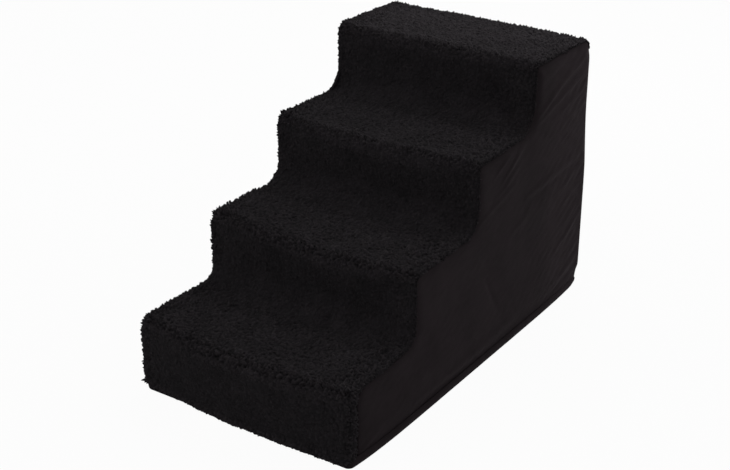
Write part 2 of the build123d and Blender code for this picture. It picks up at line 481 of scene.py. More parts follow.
@dataclass(frozen=True)
class FoamFinish:
    """Pale cut foam with open pores, painted darker in the pores as painted shade."""

    # The pores are painted darker: painted shade in the holes
    pore_shade: Colour = (0.42, 0.40, 0.33)
    skin: Colour = (0.66, 0.64, 0.56)

    def make(self) -> bpy.types.Material:
        """Build the material."""
        graph = Graph("foam_pale")
        place = graph.place()
        pores = graph.cells(place, 620)
        tone = graph.noise(place, 12, 3)
        share = (pores * 0.7 + tone * 0.5).between(0.25, 0.85)
        return graph.surface(
            Base_Color=graph.blend(share, self.pore_shade, self.skin),
            Roughness=0.92,
            Specular_IOR_Level=0.2,
            Normal=graph.bump(pores, 0.0006, 0.6),
        )


@dataclass(frozen=True)
class ThreadFinish:
    """Black twisted sewing thread."""

    dark: Colour = (0.008, 0.008, 0.0083)
    light: Colour = (0.028, 0.027, 0.028)

    def make(self) -> bpy.types.Material:
        """Build the material."""
        graph = Graph("thread_black")
        along, across, up = graph.axes(graph.place())
        twist = (((along + across) * 9000 + up * 5200).sine() + 1) * 0.5
        return graph.surface(
            Base_Color=graph.blend(twist, self.dark, self.light),
            Roughness=0.55 + twist * 0.1,
            Specular_IOR_Level=0.35,
            Normal=graph.bump(twist, 0.00008, 0.5),
        )


@dataclass(frozen=True)
class FloorFinish:
    """A plain pale floor that reads white and keeps a soft shadow."""

    tone: Colour = (0.45, 0.45, 0.45)
    glow: float = 1.04
    glow_share: float = 0.92

    def make(self) -> bpy.types.Material:
        """Build the material."""
        graph = Graph("floor_pale")
        cast = graph.noise(graph.place(), 3, 2)
        tone = graph.blend(cast, self.tone, tuple(part * 1.02 for part in self.tone))
        plain = graph.node("ShaderNodeBsdfDiffuse", None, {"Color": tone, "Roughness": 0.5})
        bright = graph.node("ShaderNodeEmission", None, {"Color": WHITE, "Strength": self.glow})
        return graph.finish(graph.mix(graph.seen() * self.glow_share, plain, bright))


# Work on meshes


class Bench:
    """Edit-mode and modifier work on one object at a time, as by hand."""

    @staticmethod
    def alone(piece: bpy.types.Object) -> None:
        """Make one object the only selected and the active one."""
        bpy.ops.object.select_all(action="DESELECT")
        piece.select_set(True)
        bpy.context.view_layer.objects.active = piece

    @staticmethod
    def start(name: str, add: Callable[..., Any], **settings: Any) -> bpy.types.Object:
        """Start a piece from one of the basic meshes.

        Args:
            name: the piece's name.
            add: the operator that adds the mesh.
            settings: the operator's settings.

        Returns:
            The new object.
        """
        bpy.ops.object.select_all(action="DESELECT")
        add(**settings)
        piece = bpy.context.view_layer.objects.active
        piece.name = piece.data.name = name
        return piece

    @classmethod
    def modify(cls, piece: bpy.types.Object, kind: str, **settings: Any) -> None:
        """Add a modifier and apply it.

        Args:
            piece: the object.
            kind: the modifier's type.
            settings: its settings.
        """
        cls.alone(piece)
        modifier = piece.modifiers.new(kind.lower(), kind)
        for key, value in settings.items():
            setattr(modifier, key, value)
        bpy.ops.object.modifier_apply(modifier=modifier.name)

    @classmethod
    def repeat(cls, piece: bpy.types.Object, count: int, offset: Sequence[float]) -> None:
        """Repeat a mesh in a row of so many copies, each an offset from the one before."""
        cls.modify(
            piece,
            "ARRAY",
            count=count,
            use_relative_offset=False,
            use_constant_offset=True,
            constant_offset_displace=tuple(offset),
        )

    @classmethod
    def thicken(cls, piece: bpy.types.Object, thickness: float) -> None:
        """Give a sheet that faces the rear its thickness, towards the foam.

        Args:
            piece: the sheet.
            thickness: metres.
        """
        if piece.data.polygons[0].normal.y < 0:
            piece.data.flip_normals()
        cls.modify(piece, "SOLIDIFY", thickness=thickness, offset=-1)
        cls.outward(piece)

    @classmethod
    def outward(cls, piece: bpy.types.Object) -> None:
        """Turn every face outwards."""
        cls.alone(piece)
        bpy.ops.object.mode_set(mode="EDIT")
        bpy.ops.mesh.select_all(action="SELECT")
        bpy.ops.mesh.normals_make_consistent(inside=False)
        bpy.ops.object.mode_set(mode="OBJECT")

    @classmethod
    def join(cls, pieces: Sequence[bpy.types.Object], name: str) -> bpy.types.Object:
        """Join objects into one.

        Args:
            pieces: the objects.
            name: the joined object's name.

        Returns:
            The joined object.
        """
        cls.alone(pieces[0])
        for piece in pieces[1:]:
            piece.select_set(True)
        if len(pieces) > 1:
            bpy.ops.object.join()
        joined = bpy.context.view_layer.objects.active
        joined.name = joined.data.name = name
        return joined

    @classmethod
    def settle(cls, piece: bpy.types.Object) -> None:
        """Put an object's place, turn and scale into its mesh."""
        cls.alone(piece)
        bpy.ops.object.transform_apply(location=True, rotation=True, scale=True)

    @staticmethod
    def points(piece: bpy.types.Object) -> np.ndarray:
        """A mesh's points as an array.

        Args:
            piece: the object.

        Returns:
            One row of three numbers for each point.
        """
        flat = np.empty(len(piece.data.vertices) * 3, dtype=np.float32)
        piece.data.vertices.foreach_get("co", flat)
        return flat.reshape(-1, 3).astype(float)

    @staticmethod
    def move(piece: bpy.types.Object, points: np.ndarray) -> None:
        """Put a mesh's points at the given places, one row for each point."""
        piece.data.vertices.foreach_set("co", points.astype(np.float32).ravel())
        piece.data.update()

    @staticmethod
    def build(name: str, points: np.ndarray, faces: list) -> bpy.types.Object:
        """A new object from points and faces.

        Args:
            name: its name.
            points: one row for each point.
            faces: lists of point numbers.

        Returns:
            The object.
        """
        mesh = bpy.data.meshes.new(name)
        mesh.from_pydata(points.tolist(), [], faces)
        mesh.update()
        piece = bpy.data.objects.new(name, mesh)
        bpy.context.scene.collection.objects.link(piece)
        return piece

    @classmethod
    def dress(
        cls, piece: bpy.types.Object, finish: bpy.types.Material, slot: str, smooth: float | None = 40
    ) -> bpy.types.Object:
        """Give a finished piece its material, smooth shading and body.

        Args:
            piece: the piece.
            finish: its material.
            slot: the record's material slot; not used.
            smooth: the angle in degrees up to which edges are smooth, or None for all of them.

        Returns:
            The piece.
        """
        cls.alone(piece)
        if smooth is None:
            bpy.ops.object.shade_smooth()
        else:
            bpy.ops.object.shade_smooth_by_angle(angle=math.radians(smooth))
        piece.data.materials.clear()
        piece.data.materials.append(finish)
        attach(piece, BODY)
        return piece


def ramp(value: np.ndarray, start: float, run: float) -> np.ndarray:
    """A straight rise from 0 to 1.

    Args:
        value: the values that it rises over.
        start: the value where it starts.
        run: how much further on it reaches 1.

    Returns:
        0 before the start, 1 past the run.
    """
    return np.clip((value - start) / run, 0, 1)


def hump(value: np.ndarray, width: float) -> np.ndarray:
    """A soft bell round 0.

    Args:
        value: the distance from its middle.
        width: the distance at which about a third is left.

    Returns:
        1 in the middle, falling to 0 on both sides.
    """
    return np.exp(-((value / width) ** 2))


def ripple(points: np.ndarray, wave: float, seed: int, count: int = 9) -> np.ndarray:
    """Smooth, seeded unevenness made of a few crossing waves.

    Args:
        points: places, one row each, of two or three numbers.
        wave: the usual wavelength in metres.
        seed: the seed of the waves' directions.
        count: how many waves cross.

    Returns:
        One value for each place, mostly from -1 to 1.
    """
    rng = np.random.default_rng(seed)
    total = np.zeros(len(points))
    for _ in range(count):
        direction = rng.normal(size=points.shape[1])
        direction /= np.linalg.norm(direction)
        length = wave * rng.uniform(0.7, 1.5)
        total += np.sin(points @ direction * 2 * math.pi / length + rng.uniform(0, 2 * math.pi))
    return total / math.sqrt(count)


def refine(grid: np.ndarray, times: int) -> np.ndarray:
    """A finer grid on smooth curves through a coarse one.

    Args:
        grid: rows by columns by numbers.
        times: how many new steps each old one is cut into.

    Returns:
        The finer grid.
    """
    for axis in (0, 1):
        rows = np.moveaxis(grid, axis, 0)
        first, last = 2 * rows[:1] - rows[1:2], 2 * rows[-1:] - rows[-2:-1]
        padded = np.concatenate([first, rows, last])
        a, b, c, d = padded[:-3], padded[1:-2], padded[2:-1], padded[3:]
        parts = []
        for step in range(times):
            t = step / times
            parts.append(
                0.5
                * (
                    2 * b
                    + (c - a) * t
                    + (2 * a - 5 * b + 4 * c - d) * t**2
                    + (3 * b - a - 3 * c + d) * t**3
                )
            )
        fine = np.stack(parts, axis=1).reshape(-1, *rows.shape[1:])
        grid = np.moveaxis(np.concatenate([fine, rows[-1:]]), 0, axis)
    return grid


def normals_of(grid: np.ndarray) -> np.ndarray:
    """Unit normals of a grid of points.

    Args:
        grid: rows by columns by three.

    Returns:
        The normals, in the same shape.
    """
    down, across = np.gradient(grid, axis=0), np.gradient(grid, axis=1)
    normal = np.cross(across, down)
    return normal / np.maximum(np.linalg.norm(normal, axis=2, keepdims=True), 1e-12)


@dataclass(frozen=True)
class StairForm:
    """Places of the foam steps, read from the frame, in metres."""

    half_width: float
    fronts: tuple[float, ...]
    tops: tuple[float, ...]
    back: float

    @classmethod
    def from_frame(cls) -> "StairForm":
        """Read the foam slabs' boxes."""
        boxes = [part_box(name) for name in SLABS]
        return cls(
            half_width=boxes[0][1].x,
            fronts=tuple(low.y for low, _ in boxes),
            tops=tuple(high.z for _, high in boxes),
            back=boxes[0][1].y,
        )


@dataclass
class Outline:
    """A rounded outline in the Y-Z plane for each of many columns at once."""

    corners: np.ndarray
    radii: np.ndarray
    steps: list[int]
    arc_steps: list[int]

    def sample(self) -> np.ndarray:
        """Points along each column's outline.

        Returns:
            Columns by points by two: the same number of points for each column.
        """
        corners, radii = self.corners, self.radii
        leg = np.diff(corners, axis=1)
        leg /= np.maximum(np.linalg.norm(leg, axis=2, keepdims=True), 1e-9)
        enter, leave = leg[:, :-1], leg[:, 1:]
        cross = enter[..., 0] * leave[..., 1] - enter[..., 1] * leave[..., 0]
        turn = np.arctan2(cross, (enter * leave).sum(axis=2))
        cut = radii[:, 1:-1] * np.tan(np.abs(turn) / 2)
        start = corners[:, 1:-1] - enter * cut[..., None]
        end = corners[:, 1:-1] + leave * cut[..., None]
        side = np.stack([-enter[..., 1], enter[..., 0]], axis=2) * np.sign(turn)[..., None]
        centre = start + side * radii[:, 1:-1, None]
        parts: list[np.ndarray] = []
        previous = corners[:, 0]
        for index in range(corners.shape[1] - 2):
            for step in range(self.steps[index]):
                share = step / self.steps[index]
                parts.append(previous * (1 - share) + start[:, index] * share)
            arm = start[:, index] - centre[:, index]
            for step in range(self.arc_steps[index]):
                angle = turn[:, index] * step / self.arc_steps[index]
                cos, sin = np.cos(angle), np.sin(angle)
                turned = np.stack(
                    [arm[:, 0] * cos - arm[:, 1] * sin, arm[:, 0] * sin + arm[:, 1] * cos], axis=1
                )
                parts.append(centre[:, index] + turned)
            previous = end[:, index]
        for step in range(self.steps[-1] + 1):
            share = step / self.steps[-1]
            parts.append(previous * (1 - share) + corners[:, -1] * share)
        return np.stack(parts, axis=1)


# Sub-assemblies


PILE_CLOTH = {
    "quality": 6,
    "mass": 0.3,
    "tension_stiffness": 20,
    "compression_stiffness": 20,
    "shear_stiffness": 8,
    "bending_stiffness": 4,
    "use_pressure": True,
    "uniform_pressure_force": 4,
}


@dataclass
class SherpaRunner:
    """The strip of curly pile over the treads and risers, as one closed padded shell."""

    form: StairForm
    pile: float = 0.009
    nose_bow: float = 0.0095
    foot_bow: float = 0.003
    hem_bow: float = 0.0045
    nose_droop: float = 0.0045
    step_bows: tuple[float, ...] = (1, 1, 0.9, 0.3)
    bow_centre: float = 0.025
    bow_power: float = 2.4
    nose_radius_end: float = 0.018
    nose_radius_middle: float = 0.025
    tread_radius: float = 0.028
    rear_radius: float = 0.018
    rear_drop: float = 0.0063
    seam_rear_drop: float = 0.0030
    rear_end: float = 0.0195
    rear_stand: float = 0.0015
    corner_sag: float = 0.0045
    corner_zone: Pair = (0.12, 0.05)
    lining_inset: float = 0.004
    lining_gap: float = 0.0004
    lining_hem: tuple[float, float] = (0.002, 0.004)
    lining_rear: float = 0.001
    lining_radius: float = 0.0004
    lining_rear_radius: float = 0.0135
    lining_rear_drop: float = 0.0034
    tread_rise: float = 0.0025
    tread_lead: float = 0.004
    tread_run: float = 0.15
    tread_reach: float = 0.006
    level_reach: float = 0.03
    left_zone: Pair = (0.05, 0.12)
    left_tilts: tuple[float, ...] = (0.0024, 0.0034, 0.0004, -0.0006)
    left_lifts: tuple[float, ...] = (0.0022, 0.0022, -0.0014, -0.0022)
    seam_nose_radius: float = 0.012
    seam_nose_drops: tuple[float, ...] = (0.0085, 0.0070, 0.0050, 0.0085)
    left_drop_share: float = 0.4
    seam_valley_radii: tuple[float, ...] = (0.024, 0.038, 0.054)
    edge_sag: float = 0.0032
    sag_zone: Pair = (0.15, 0.04)
    pinch_side: Pair = (0.186, 0.0175)
    pinch_back: Pair = (0.352, 0.026)
    pinch_in: float = 0.022
    pinch_shift: tuple[float, float] = (0.003, 0.001)
    seam_wrap: float = 0.018
    seam_first_radius: float = 0.026
    outer_left: float = 0.2043
    taper_heights: tuple[float, ...] = (0.10, 0.30, 0.37, 0.44)
    left_tapers: tuple[float, ...] = (0, 0.0185, 0.0185, 0.012)
    right_heights: tuple[float, ...] = (0.10, 0.14, 0.35, 0.38)
    right_tapers: tuple[float, ...] = (0, 0.009, 0.009, 0.026)
    rear_ease: float = 0.45
    rear_zone: Pair = (0.33, 0.04)
    outer_right: float = 0.2000
    panel_half: float = 0.1972
    edge_roll: float = 0.0115
    roll_angles: tuple[float, ...] = (24, 48, 70, 90)
    roll_ends: tuple[float, ...] = (0.0002, -0.0004)
    roll_shares: tuple[float, ...] = (0.87, 0.94, 1.0)
    wrap_shares: tuple[float, ...] = (0.35, 0.75, 1)
    seam_lift: float = 0.0048
    hem_height: float = 0.005
    hem_turn: float = 0.0045
    hem_radius: float = 0.003
    hem_sharpening: float = 0.002
    hem_places: tuple[float, ...] = (-0.2, -0.18, -0.15, -0.12, -0.09, -0.05, -0.02, 0.172, 0.187, 0.202)
    hem_lifts: tuple[float, ...] = (0.012, 0.008, 0.007, 0.007, 0.004, 0.0015, 0, 0, 0.0012, 0.005)
    rim_height: float = 0.014
    rim_overlap: float = 0.0015
    rim_depth: float = 0.004
    cell: float = 0.006
    finer: int = 4
    swell_limit: float = 0.004
    swell_frames: int = 20
    held_rows: int = 4
    held_columns: int = 5
    tuft_steps: int = 3
    tuft_stretch: float = 1.6
    tuft_height: float = 0.0036
    tuft_lean: float = 0.0014
    lock_steps: int = 6
    lock_stretch: float = 1.3
    lock_height: float = 0.0016
    stand_riser: float = 0.6
    stand_tread: float = 1.0
    curl_steps: int = 2
    curl_height: float = 0.0012
    drift_height: float = 0.0005
    drift_wave: float = 0.05
    bend_opening: float = 0.9
    sharp_bend: float = 45
    right_end: Pair = (0.13, 0.045)
    left_end: Pair = (0.15, 0.04)
    end_ragged: float = 0.45
    left_ragged: float = 1.5
    rear_edge: Pair = (0.345, 0.02)
    rear_calm: float = 0.4
    calm_rows: int = 11
    calm_columns: int = 2
    mean_tone: float = 0.42
    # Painted shade on the front part of each tread, a painted highlight on the noses and painted light
    # on the top, in the pile's colour
    tread_length: float = 0.183
    tread_shade: float = 0.13
    nose_bend: float = 30
    nose_light: float = 0.28
    top_zone: Pair = (0.44, 0.03)
    top_light: float = 0.22
    parting_depth: float = 0.0026
    parting_width: float = 1.9
    parting_lines: tuple[tuple[float, float, float], ...] = ((-0.13, 0.165, 9.0), (-0.14, 0.18, 7.0))
    seed: int = 11
    columns: dict[str, np.ndarray] = field(default_factory=dict)

    def bow(self, place: np.ndarray) -> np.ndarray:
        """How far the strip is plumped out at each place across the stairs.

        Args:
            place: X in metres.

        Returns:
            1 in the middle, 0 at the ends.
        """
        left, right = self.outer_left - self.edge_roll, self.outer_right - self.edge_roll
        share = (place - self.bow_centre) / np.where(
            place > self.bow_centre, right - self.bow_centre, left + self.bow_centre
        )
        return np.clip(1 - np.abs(share) ** self.bow_power, 0, 1)

    def lay_columns(self) -> None:
        """Work out each column's place across and how far it has rolled to the seam."""
        left, right = self.outer_left - self.edge_roll, self.outer_right - self.edge_roll
        middle = np.linspace(-left, right, int(round((left + right) / self.cell)) + 1)
        angles = np.radians(self.roll_angles)
        rest = self.seam_wrap + self.pile - self.edge_roll
        turned = np.append(self.edge_roll * np.sin(angles), self.edge_roll + np.array(self.roll_ends))
        roll = np.append(0.8 * (1 - np.cos(angles)), self.roll_shares)
        behind = self.edge_roll + rest * np.array(self.wrap_shares)
        wrap = np.append(self.edge_roll * (1 - np.cos(angles)), behind)
        level = np.zeros_like(middle)
        self.columns = {
            "place": np.concatenate(
                [[-self.panel_half], -(left + turned[::-1]), middle, right + turned, [self.panel_half]]
            ),
            "roll": np.concatenate([roll[::-1], level, roll]),
            "wrap": np.concatenate([wrap[::-1], level, wrap]),
        }

    def corners(
        self, place: np.ndarray, roll: np.ndarray, wrap: np.ndarray
    ) -> tuple[np.ndarray, np.ndarray]:
        """Corners and radii of the outline in each column.

        Args:
            place: X of each column.
            roll: 0 on the pile's face, 1 at the seam with the side panel.
            wrap: how far behind its outer face the lowest riser has turned on to the side.

        Returns:
            Corners, columns by corners by two, and radii, columns by corners.
        """
        form, bow = self.form, self.bow(place) * (1 - roll)
        lift = self.pile * (1 - roll) + self.seam_lift * roll
        level = lift - self.edge_sag * (1 - roll) * ramp(place, *self.sag_zone)
        foot_y = form.fronts[0] - self.pile - self.hem_bow * bow + wrap
        foot_z = self.hem_height + np.interp(place, self.hem_places, self.hem_lifts) * (1 - roll)
        foot_z = foot_z + (self.rim_height - self.rim_overlap - self.hem_height) * roll
        nose = self.nose_radius_end + (self.nose_radius_middle - self.nose_radius_end) * bow
        nose = nose * (1 - roll) + self.seam_nose_radius * roll
        points = [(foot_y + self.hem_turn, foot_z), (foot_y, foot_z)]
        radii = [0 * roll, self.hem_radius - self.hem_sharpening * roll]
        for step, share in enumerate(self.step_bows):
            depth = wrap - self.pile if step == 0 else -lift
            nose_y = form.fronts[step] + depth - self.nose_bow * bow * share
            top = form.tops[step] + level
            drop = self.seam_nose_drops[step] * roll**2 * np.where(place > 0, 1, self.left_drop_share)
            points.append((nose_y, top - self.nose_droop * bow * share - drop))
            first = nose * (1 - roll) + self.seam_first_radius * roll
            radii.append(first if step == 0 else nose)
            if step + 1 < len(form.fronts):
                points.append((form.fronts[step + 1] - lift - self.foot_bow * bow, top))
                radii.append(self.tread_radius * (1 - roll) + self.seam_valley_radii[step] * roll)
        rear = form.back + self.rear_stand + self.rear_stand * (1 - roll)
        low = form.tops[-1] + lift - self.rear_drop * (1 - roll) - self.seam_rear_drop * roll
        low = low - self.corner_sag * ramp(place, *self.corner_zone)
        points += [(rear, low), (rear, form.tops[-1] - self.rear_end + 0 * roll)]
        radii += [self.rear_radius + 0 * roll, 0 * roll]
        corner = np.stack([np.stack([y + 0 * place, z + 0 * place], axis=1) for y, z in points], axis=1)
        return corner, np.stack([r + 0 * place for r in radii], axis=1)

    def steps(self) -> tuple[list[int], list[int]]:
        """How many cells each straight run and each rounded corner gets.

        Returns:
            Counts for the runs and for the corners.
        """
        corner, radius = self.corners(np.zeros(1), np.zeros(1), np.zeros(1))
        length = np.linalg.norm(np.diff(corner[0], axis=0), axis=1)
        cut = radius[0]
        free = length - cut[:-1] - cut[1:]
        runs = [max(1, int(round(value / self.cell))) for value in free]
        arcs = [max(2, int(round(value * math.pi / 2 / self.cell))) for value in cut[1:-1]]
        return runs, arcs

    def face(self) -> np.ndarray:
        """The pile's face before it swells, rows by columns by three."""
        place = self.columns["place"]
        corner, radius = self.corners(place, self.columns["roll"], self.columns["wrap"])
        flat = Outline(corner, radius, *self.steps()).sample()
        keep = 1 - self.columns["roll"][:, None]
        for front, top in zip(self.form.fronts, self.form.tops[:-1]):
            run = (flat[..., 0] - front + self.tread_lead) / self.tread_run
            on = (np.abs(flat[..., 1] - top - self.pile) < self.tread_reach) & (run > 0) & (run < 1)
            rise = self.tread_rise * np.sin(math.pi * np.clip(run, 0, 1)) ** 2
            flat[..., 1] += np.where(on, rise, 0) * keep
        across = np.repeat(place[:, None], flat.shape[1], axis=1)
        left = ramp(-across, *self.left_zone) * keep
        steps = zip(self.form.fronts, self.form.tops, self.left_tilts, self.left_lifts)
        for front, top, tilt, lift in steps:
            run = np.clip((flat[..., 0] - front + self.tread_lead) / self.tread_run, 0, 1)
            near = hump(flat[..., 1] - top - self.pile, self.level_reach)
            flat[..., 1] += (tilt * np.cos(math.pi * run) + lift) * left * near
        side, back = ramp(np.abs(across), *self.pinch_side), ramp(flat[..., 0], *self.pinch_back)
        pinch = (side * back * (1 - self.columns["roll"][:, None] ** 4)) ** 1.3
        across = across * (1 - self.pinch_in * pinch)
        flat = flat - pinch[..., None] * np.array(self.pinch_shift)
        lean = np.interp(flat[..., 1], self.taper_heights, self.left_tapers)
        tuck = np.interp(flat[..., 1], self.right_heights, self.right_tapers)
        tuck = tuck * self.rear_share(flat[..., 0])
        loose = (self.columns["roll"] < 0.999)[:, None]
        across = across * (1 - np.where(across < 0, lean * loose, tuck * (1 + 0.1 * ~loose)))
        return np.stack([across, flat[..., 0], flat[..., 1]], axis=2).transpose(1, 0, 2)

    def rear_share(self, along: np.ndarray) -> np.ndarray:
        """How much of the right side's tuck is left at each Y: 1 in front, less at the rear."""
        return 1 - self.rear_ease * ramp(along, *self.rear_zone)

    def lining(self) -> np.ndarray:
        """The strip's inner face on the foam, in the same rows and columns."""
        form, gap, count = self.form, self.lining_gap, len(self.columns["place"])
        inset = self.lining_inset
        place = np.linspace(inset - form.half_width, form.half_width - inset, count)
        hem = form.fronts[0] - self.rim_depth - gap
        points = [(hem, self.hem_height + up) for up in self.lining_hem]
        for step, top in enumerate(form.tops):
            points.append((form.fronts[step] - gap, top + gap))
            if step + 1 < len(form.fronts):
                points.append((form.fronts[step + 1] - gap, top + gap))
        rear = form.back + self.lining_rear
        points += [(rear, form.tops[-1] - self.lining_rear_drop), (rear, form.tops[-1] - self.rear_end)]
        corner = np.repeat(np.array(points)[None], count, axis=0)
        radius = np.full((count, len(points)), self.lining_radius)
        radius[:, -2] = self.lining_rear_radius
        corner[:, -2, 1] -= self.corner_sag * ramp(place, *self.corner_zone)
        flat = Outline(corner, radius, *self.steps()).sample()
        across = np.repeat(place[:, None], flat.shape[1], axis=1)
        return np.stack([across, flat[..., 0], flat[..., 1]], axis=2).transpose(1, 0, 2)

    def swell(self, grid: np.ndarray) -> np.ndarray:
        """Let the cloth swell off the foam between its seams, with a cloth simulation.

        Args:
            grid: the face before it swells.

        Returns:
            The swollen face.
        """
        rows, count = grid.shape[:2]
        index = np.arange(rows * count).reshape(rows, count)
        quads = np.stack([index[:-1, :-1], index[1:, :-1], index[1:, 1:], index[:-1, 1:]], axis=2)
        cloth = Bench.build("sherpa_cloth", grid.reshape(-1, 3), quads.reshape(-1, 4).tolist())
        held = cloth.vertex_groups.new(name="held")
        edge = np.zeros((rows, count), bool)
        edge[: self.held_rows] = edge[-self.held_rows :] = True
        edge[:, : self.held_columns] = edge[:, -self.held_columns :] = True
        held.add(index[edge].tolist(), 1.0, "REPLACE")
        modifier = cloth.modifiers.new("cloth", "CLOTH")
        for key, value in PILE_CLOTH.items():
            setattr(modifier.settings, key, value)
        modifier.settings.vertex_group_mass = held.name
        modifier.settings.effector_weights.gravity = 0
        scene = bpy.context.scene
        for number in range(self.swell_frames):
            scene.frame_set(number + 1)
        Bench.alone(cloth)
        bpy.ops.object.modifier_apply(modifier=modifier.name)
        moved = Bench.points(cloth).reshape(grid.shape) - grid
        scene.frame_set(1)
        bpy.data.objects.remove(cloth)
        size = np.linalg.norm(moved, axis=2, keepdims=True)
        LOG.info("cloth swelled by up to %.1f mm", size.max() * 1000)
        kept = self.swell_limit * np.tanh(size / self.swell_limit)
        return grid + moved * kept / np.maximum(size, 1e-9)

    def tufts(
        self, face: np.ndarray, steps: int, stretch: float, rng: np.random.Generator
    ) -> tuple[np.ndarray, np.ndarray]:
        """Short curled tufts on scattered points of a fine grid.

        Args:
            face: the fine face, rows by columns by three.
            steps: the usual tuft width in grid steps.
            stretch: how much longer than wide a tuft is.
            rng: the seeded source of the scatter.

        Returns:
            Height from 0 to 1, and the number of the tuft, for each point.
        """
        rows, count = face.shape[:2]
        down, across = rows // steps + 5, count // steps + 5
        jitter = rng.uniform(0, 1, (2, down, across))
        seed_row = ((np.arange(down)[:, None] - 2 + jitter[0]) * steps).round().astype(int)
        seed_col = ((np.arange(across)[None] - 2 + jitter[1]) * steps).round().astype(int)
        seeds = face[np.clip(seed_row, 0, rows - 1), np.clip(seed_col, 0, count - 1)]
        lie = rng.normal(size=(down, across, 3)) * np.array([0.7, 1.4, 0.8])
        lie /= np.linalg.norm(lie, axis=2, keepdims=True)
        row = (np.arange(rows) // steps)[:, None] + 2
        col = (np.arange(count) // steps)[None] + 2
        near = np.full((rows, count), 9.0)
        second = np.full((rows, count), 9.0)
        owner = np.zeros((rows, count), int)
        reach = 2 if stretch > 1.2 else 1
        for i in range(-reach, reach + 1):
            for j in range(-reach, reach + 1):
                r, c = row + i + 0 * col, col + j + 0 * row
                away = face - seeds[r, c]
                along = (away * lie[r, c]).sum(axis=2)
                square = (away**2).sum(axis=2)
                distance = np.sqrt(np.maximum(square - along**2 * (1 - 1 / stretch**2), 0))
                closer = distance < near
                second = np.where(closer, near, np.minimum(second, distance))
                owner = np.where(closer, r * across + c, owner)
                near = np.where(closer, distance, near)
        width = self.cell / self.finer * steps
        dome = 1 - np.clip(near / width, 0, 1) ** 2
        crease = np.clip((second - near) / (0.5 * width), 0, 1)
        return dome * 0.4 + np.sqrt(crease) * 0.6, owner

    @staticmethod
    def bend(face: np.ndarray, normal: np.ndarray) -> np.ndarray:
        """How sharply the face bends along its length.

        Args:
            face: the fine face.
            normal: its unit normals.

        Returns:
            Bend in 1/m for each point, positive where the face is convex.
        """
        step, bend = 6, np.zeros(face.shape[:2])
        along = face[2 * step :] - face[: -2 * step]
        turn = normal[2 * step :] - normal[: -2 * step]
        bend[step:-step] = (along * turn).sum(axis=2) / np.maximum((along**2).sum(axis=2), 1e-9)
        return bend

    def partings(self, face: np.ndarray) -> np.ndarray:
        """Partings where the pile opens along the two lower nosings, sunk into the face and painted
        darker as painted shade.

        Args:
            face: the fine face.

        Returns:
            1 in the middle of a parting, 0 away from it.
        """
        runs, arcs = self.steps()
        rows, found = np.arange(face.shape[0])[:, None], np.zeros(face.shape[:2])
        place = face[..., 0]
        for step, (left, right, slope) in enumerate(self.parting_lines):
            corner = 1 + 2 * step
            nose = self.finer * (sum(runs[: corner + 1]) + sum(arcs[:corner]) + 0.45 * arcs[corner])
            wobble = 2.2 * np.sin(place * 95 + step) + 1.6 * np.sin(place * 230 + 2 * step)
            share = np.clip((place - left) / (right - left), 0, 1)
            off = rows - nose - wobble - slope * (share - 0.5)
            fade = np.clip(np.minimum(place - left, right - place) / 0.02, 0, 1)
            broken = np.clip(0.5 + 0.7 * np.sin(place * 150 + 3 * step) * np.sin(place * 610), 0, 1)
            found = np.maximum(found, hump(off, self.parting_width) * fade * broken)
        return found

    def painted_light(self, face: np.ndarray, normal: np.ndarray) -> np.ndarray:
        """Painted light and shade on the pile's colour: painted shade on the front part of each tread, a
        painted highlight on the convex noses and painted light on the top.

        Args:
            face: the fine face.
            normal: its unit normals.

        Returns:
            About 1: less under painted shade, more under painted light.
        """
        level, light = np.clip(normal[..., 2], 0, 1) ** 2, np.ones(face.shape[:2])
        for front, top in zip(self.form.fronts, self.form.tops):
            run = (face[..., 1] - front) / self.tread_length
            fore = np.clip(1.6 - run / 0.35, 0, 1) * np.clip(1 + run / 0.1, 0, 1)
            on = hump(face[..., 2] - top - self.pile, self.level_reach)
            # Painted shade on the front part of each tread
            light -= self.tread_shade * on * fore * level
        bent = np.clip(self.bend(face, normal) / self.nose_bend, 0, 1)
        # Painted highlight on the convex noses, and painted light on the top
        light += self.nose_light * (np.clip(-normal[..., 1], 0, 1) * bent) * (1 - level)
        return light * (1 + self.top_light * ramp(face[..., 2], *self.top_zone) * level)

    def pile_up(self, face: np.ndarray) -> tuple[np.ndarray, np.ndarray]:
        """Raise the tufts and curls of the pile on the fine face.

        Args:
            face: the fine, smooth face.

        Returns:
            The face with its pile, and each point's tone from 0 to 1: the tufts' height, painted darker
            between them as painted shade, times the pile's painted light and shade.
        """
        rng = np.random.default_rng(self.seed)
        normal = normals_of(face)
        bent = np.clip(self.bend(face, normal) / self.sharp_bend, -0.6, 1)
        open_up = 1 + self.bend_opening * bent
        upright = np.maximum(np.clip(normal[..., 2], 0, 1) ** 2, np.abs(normal[..., 0]) ** 2)
        open_up = open_up * (self.stand_riser + self.stand_tread * upright)
        place = face[..., 0]
        left = self.left_ragged * ramp(-place, *self.left_end)
        ends = np.maximum(ramp(place, *self.right_end), left)
        rear = 1 - self.rear_calm * ramp(face[..., 1], *self.rear_edge)
        open_up = open_up * (1 + self.end_ragged * ends) * rear
        coarse, owner = self.tufts(face, self.tuft_steps, self.tuft_stretch, rng)
        fine, _ = self.tufts(face, self.curl_steps, 1, rng)
        locks, _ = self.tufts(face, self.lock_steps, self.lock_stretch, rng)
        scale = rng.uniform(0.45, 1, owner.max() + 1)[owner]
        lean = rng.normal(size=(owner.max() + 1, 3))[owner]
        lean -= (lean * normal).sum(axis=2, keepdims=True) * normal
        flat = face.reshape(-1, 3)
        drift = ripple(flat, self.drift_wave, self.seed).reshape(coarse.shape)
        height = coarse * scale
        out = (height - 0.55) * self.tuft_height * open_up + (fine - 0.5) * self.curl_height
        out += (locks - 0.5) * self.lock_height * open_up
        parting = self.partings(face)
        out += drift * self.drift_height - self.parting_depth * parting
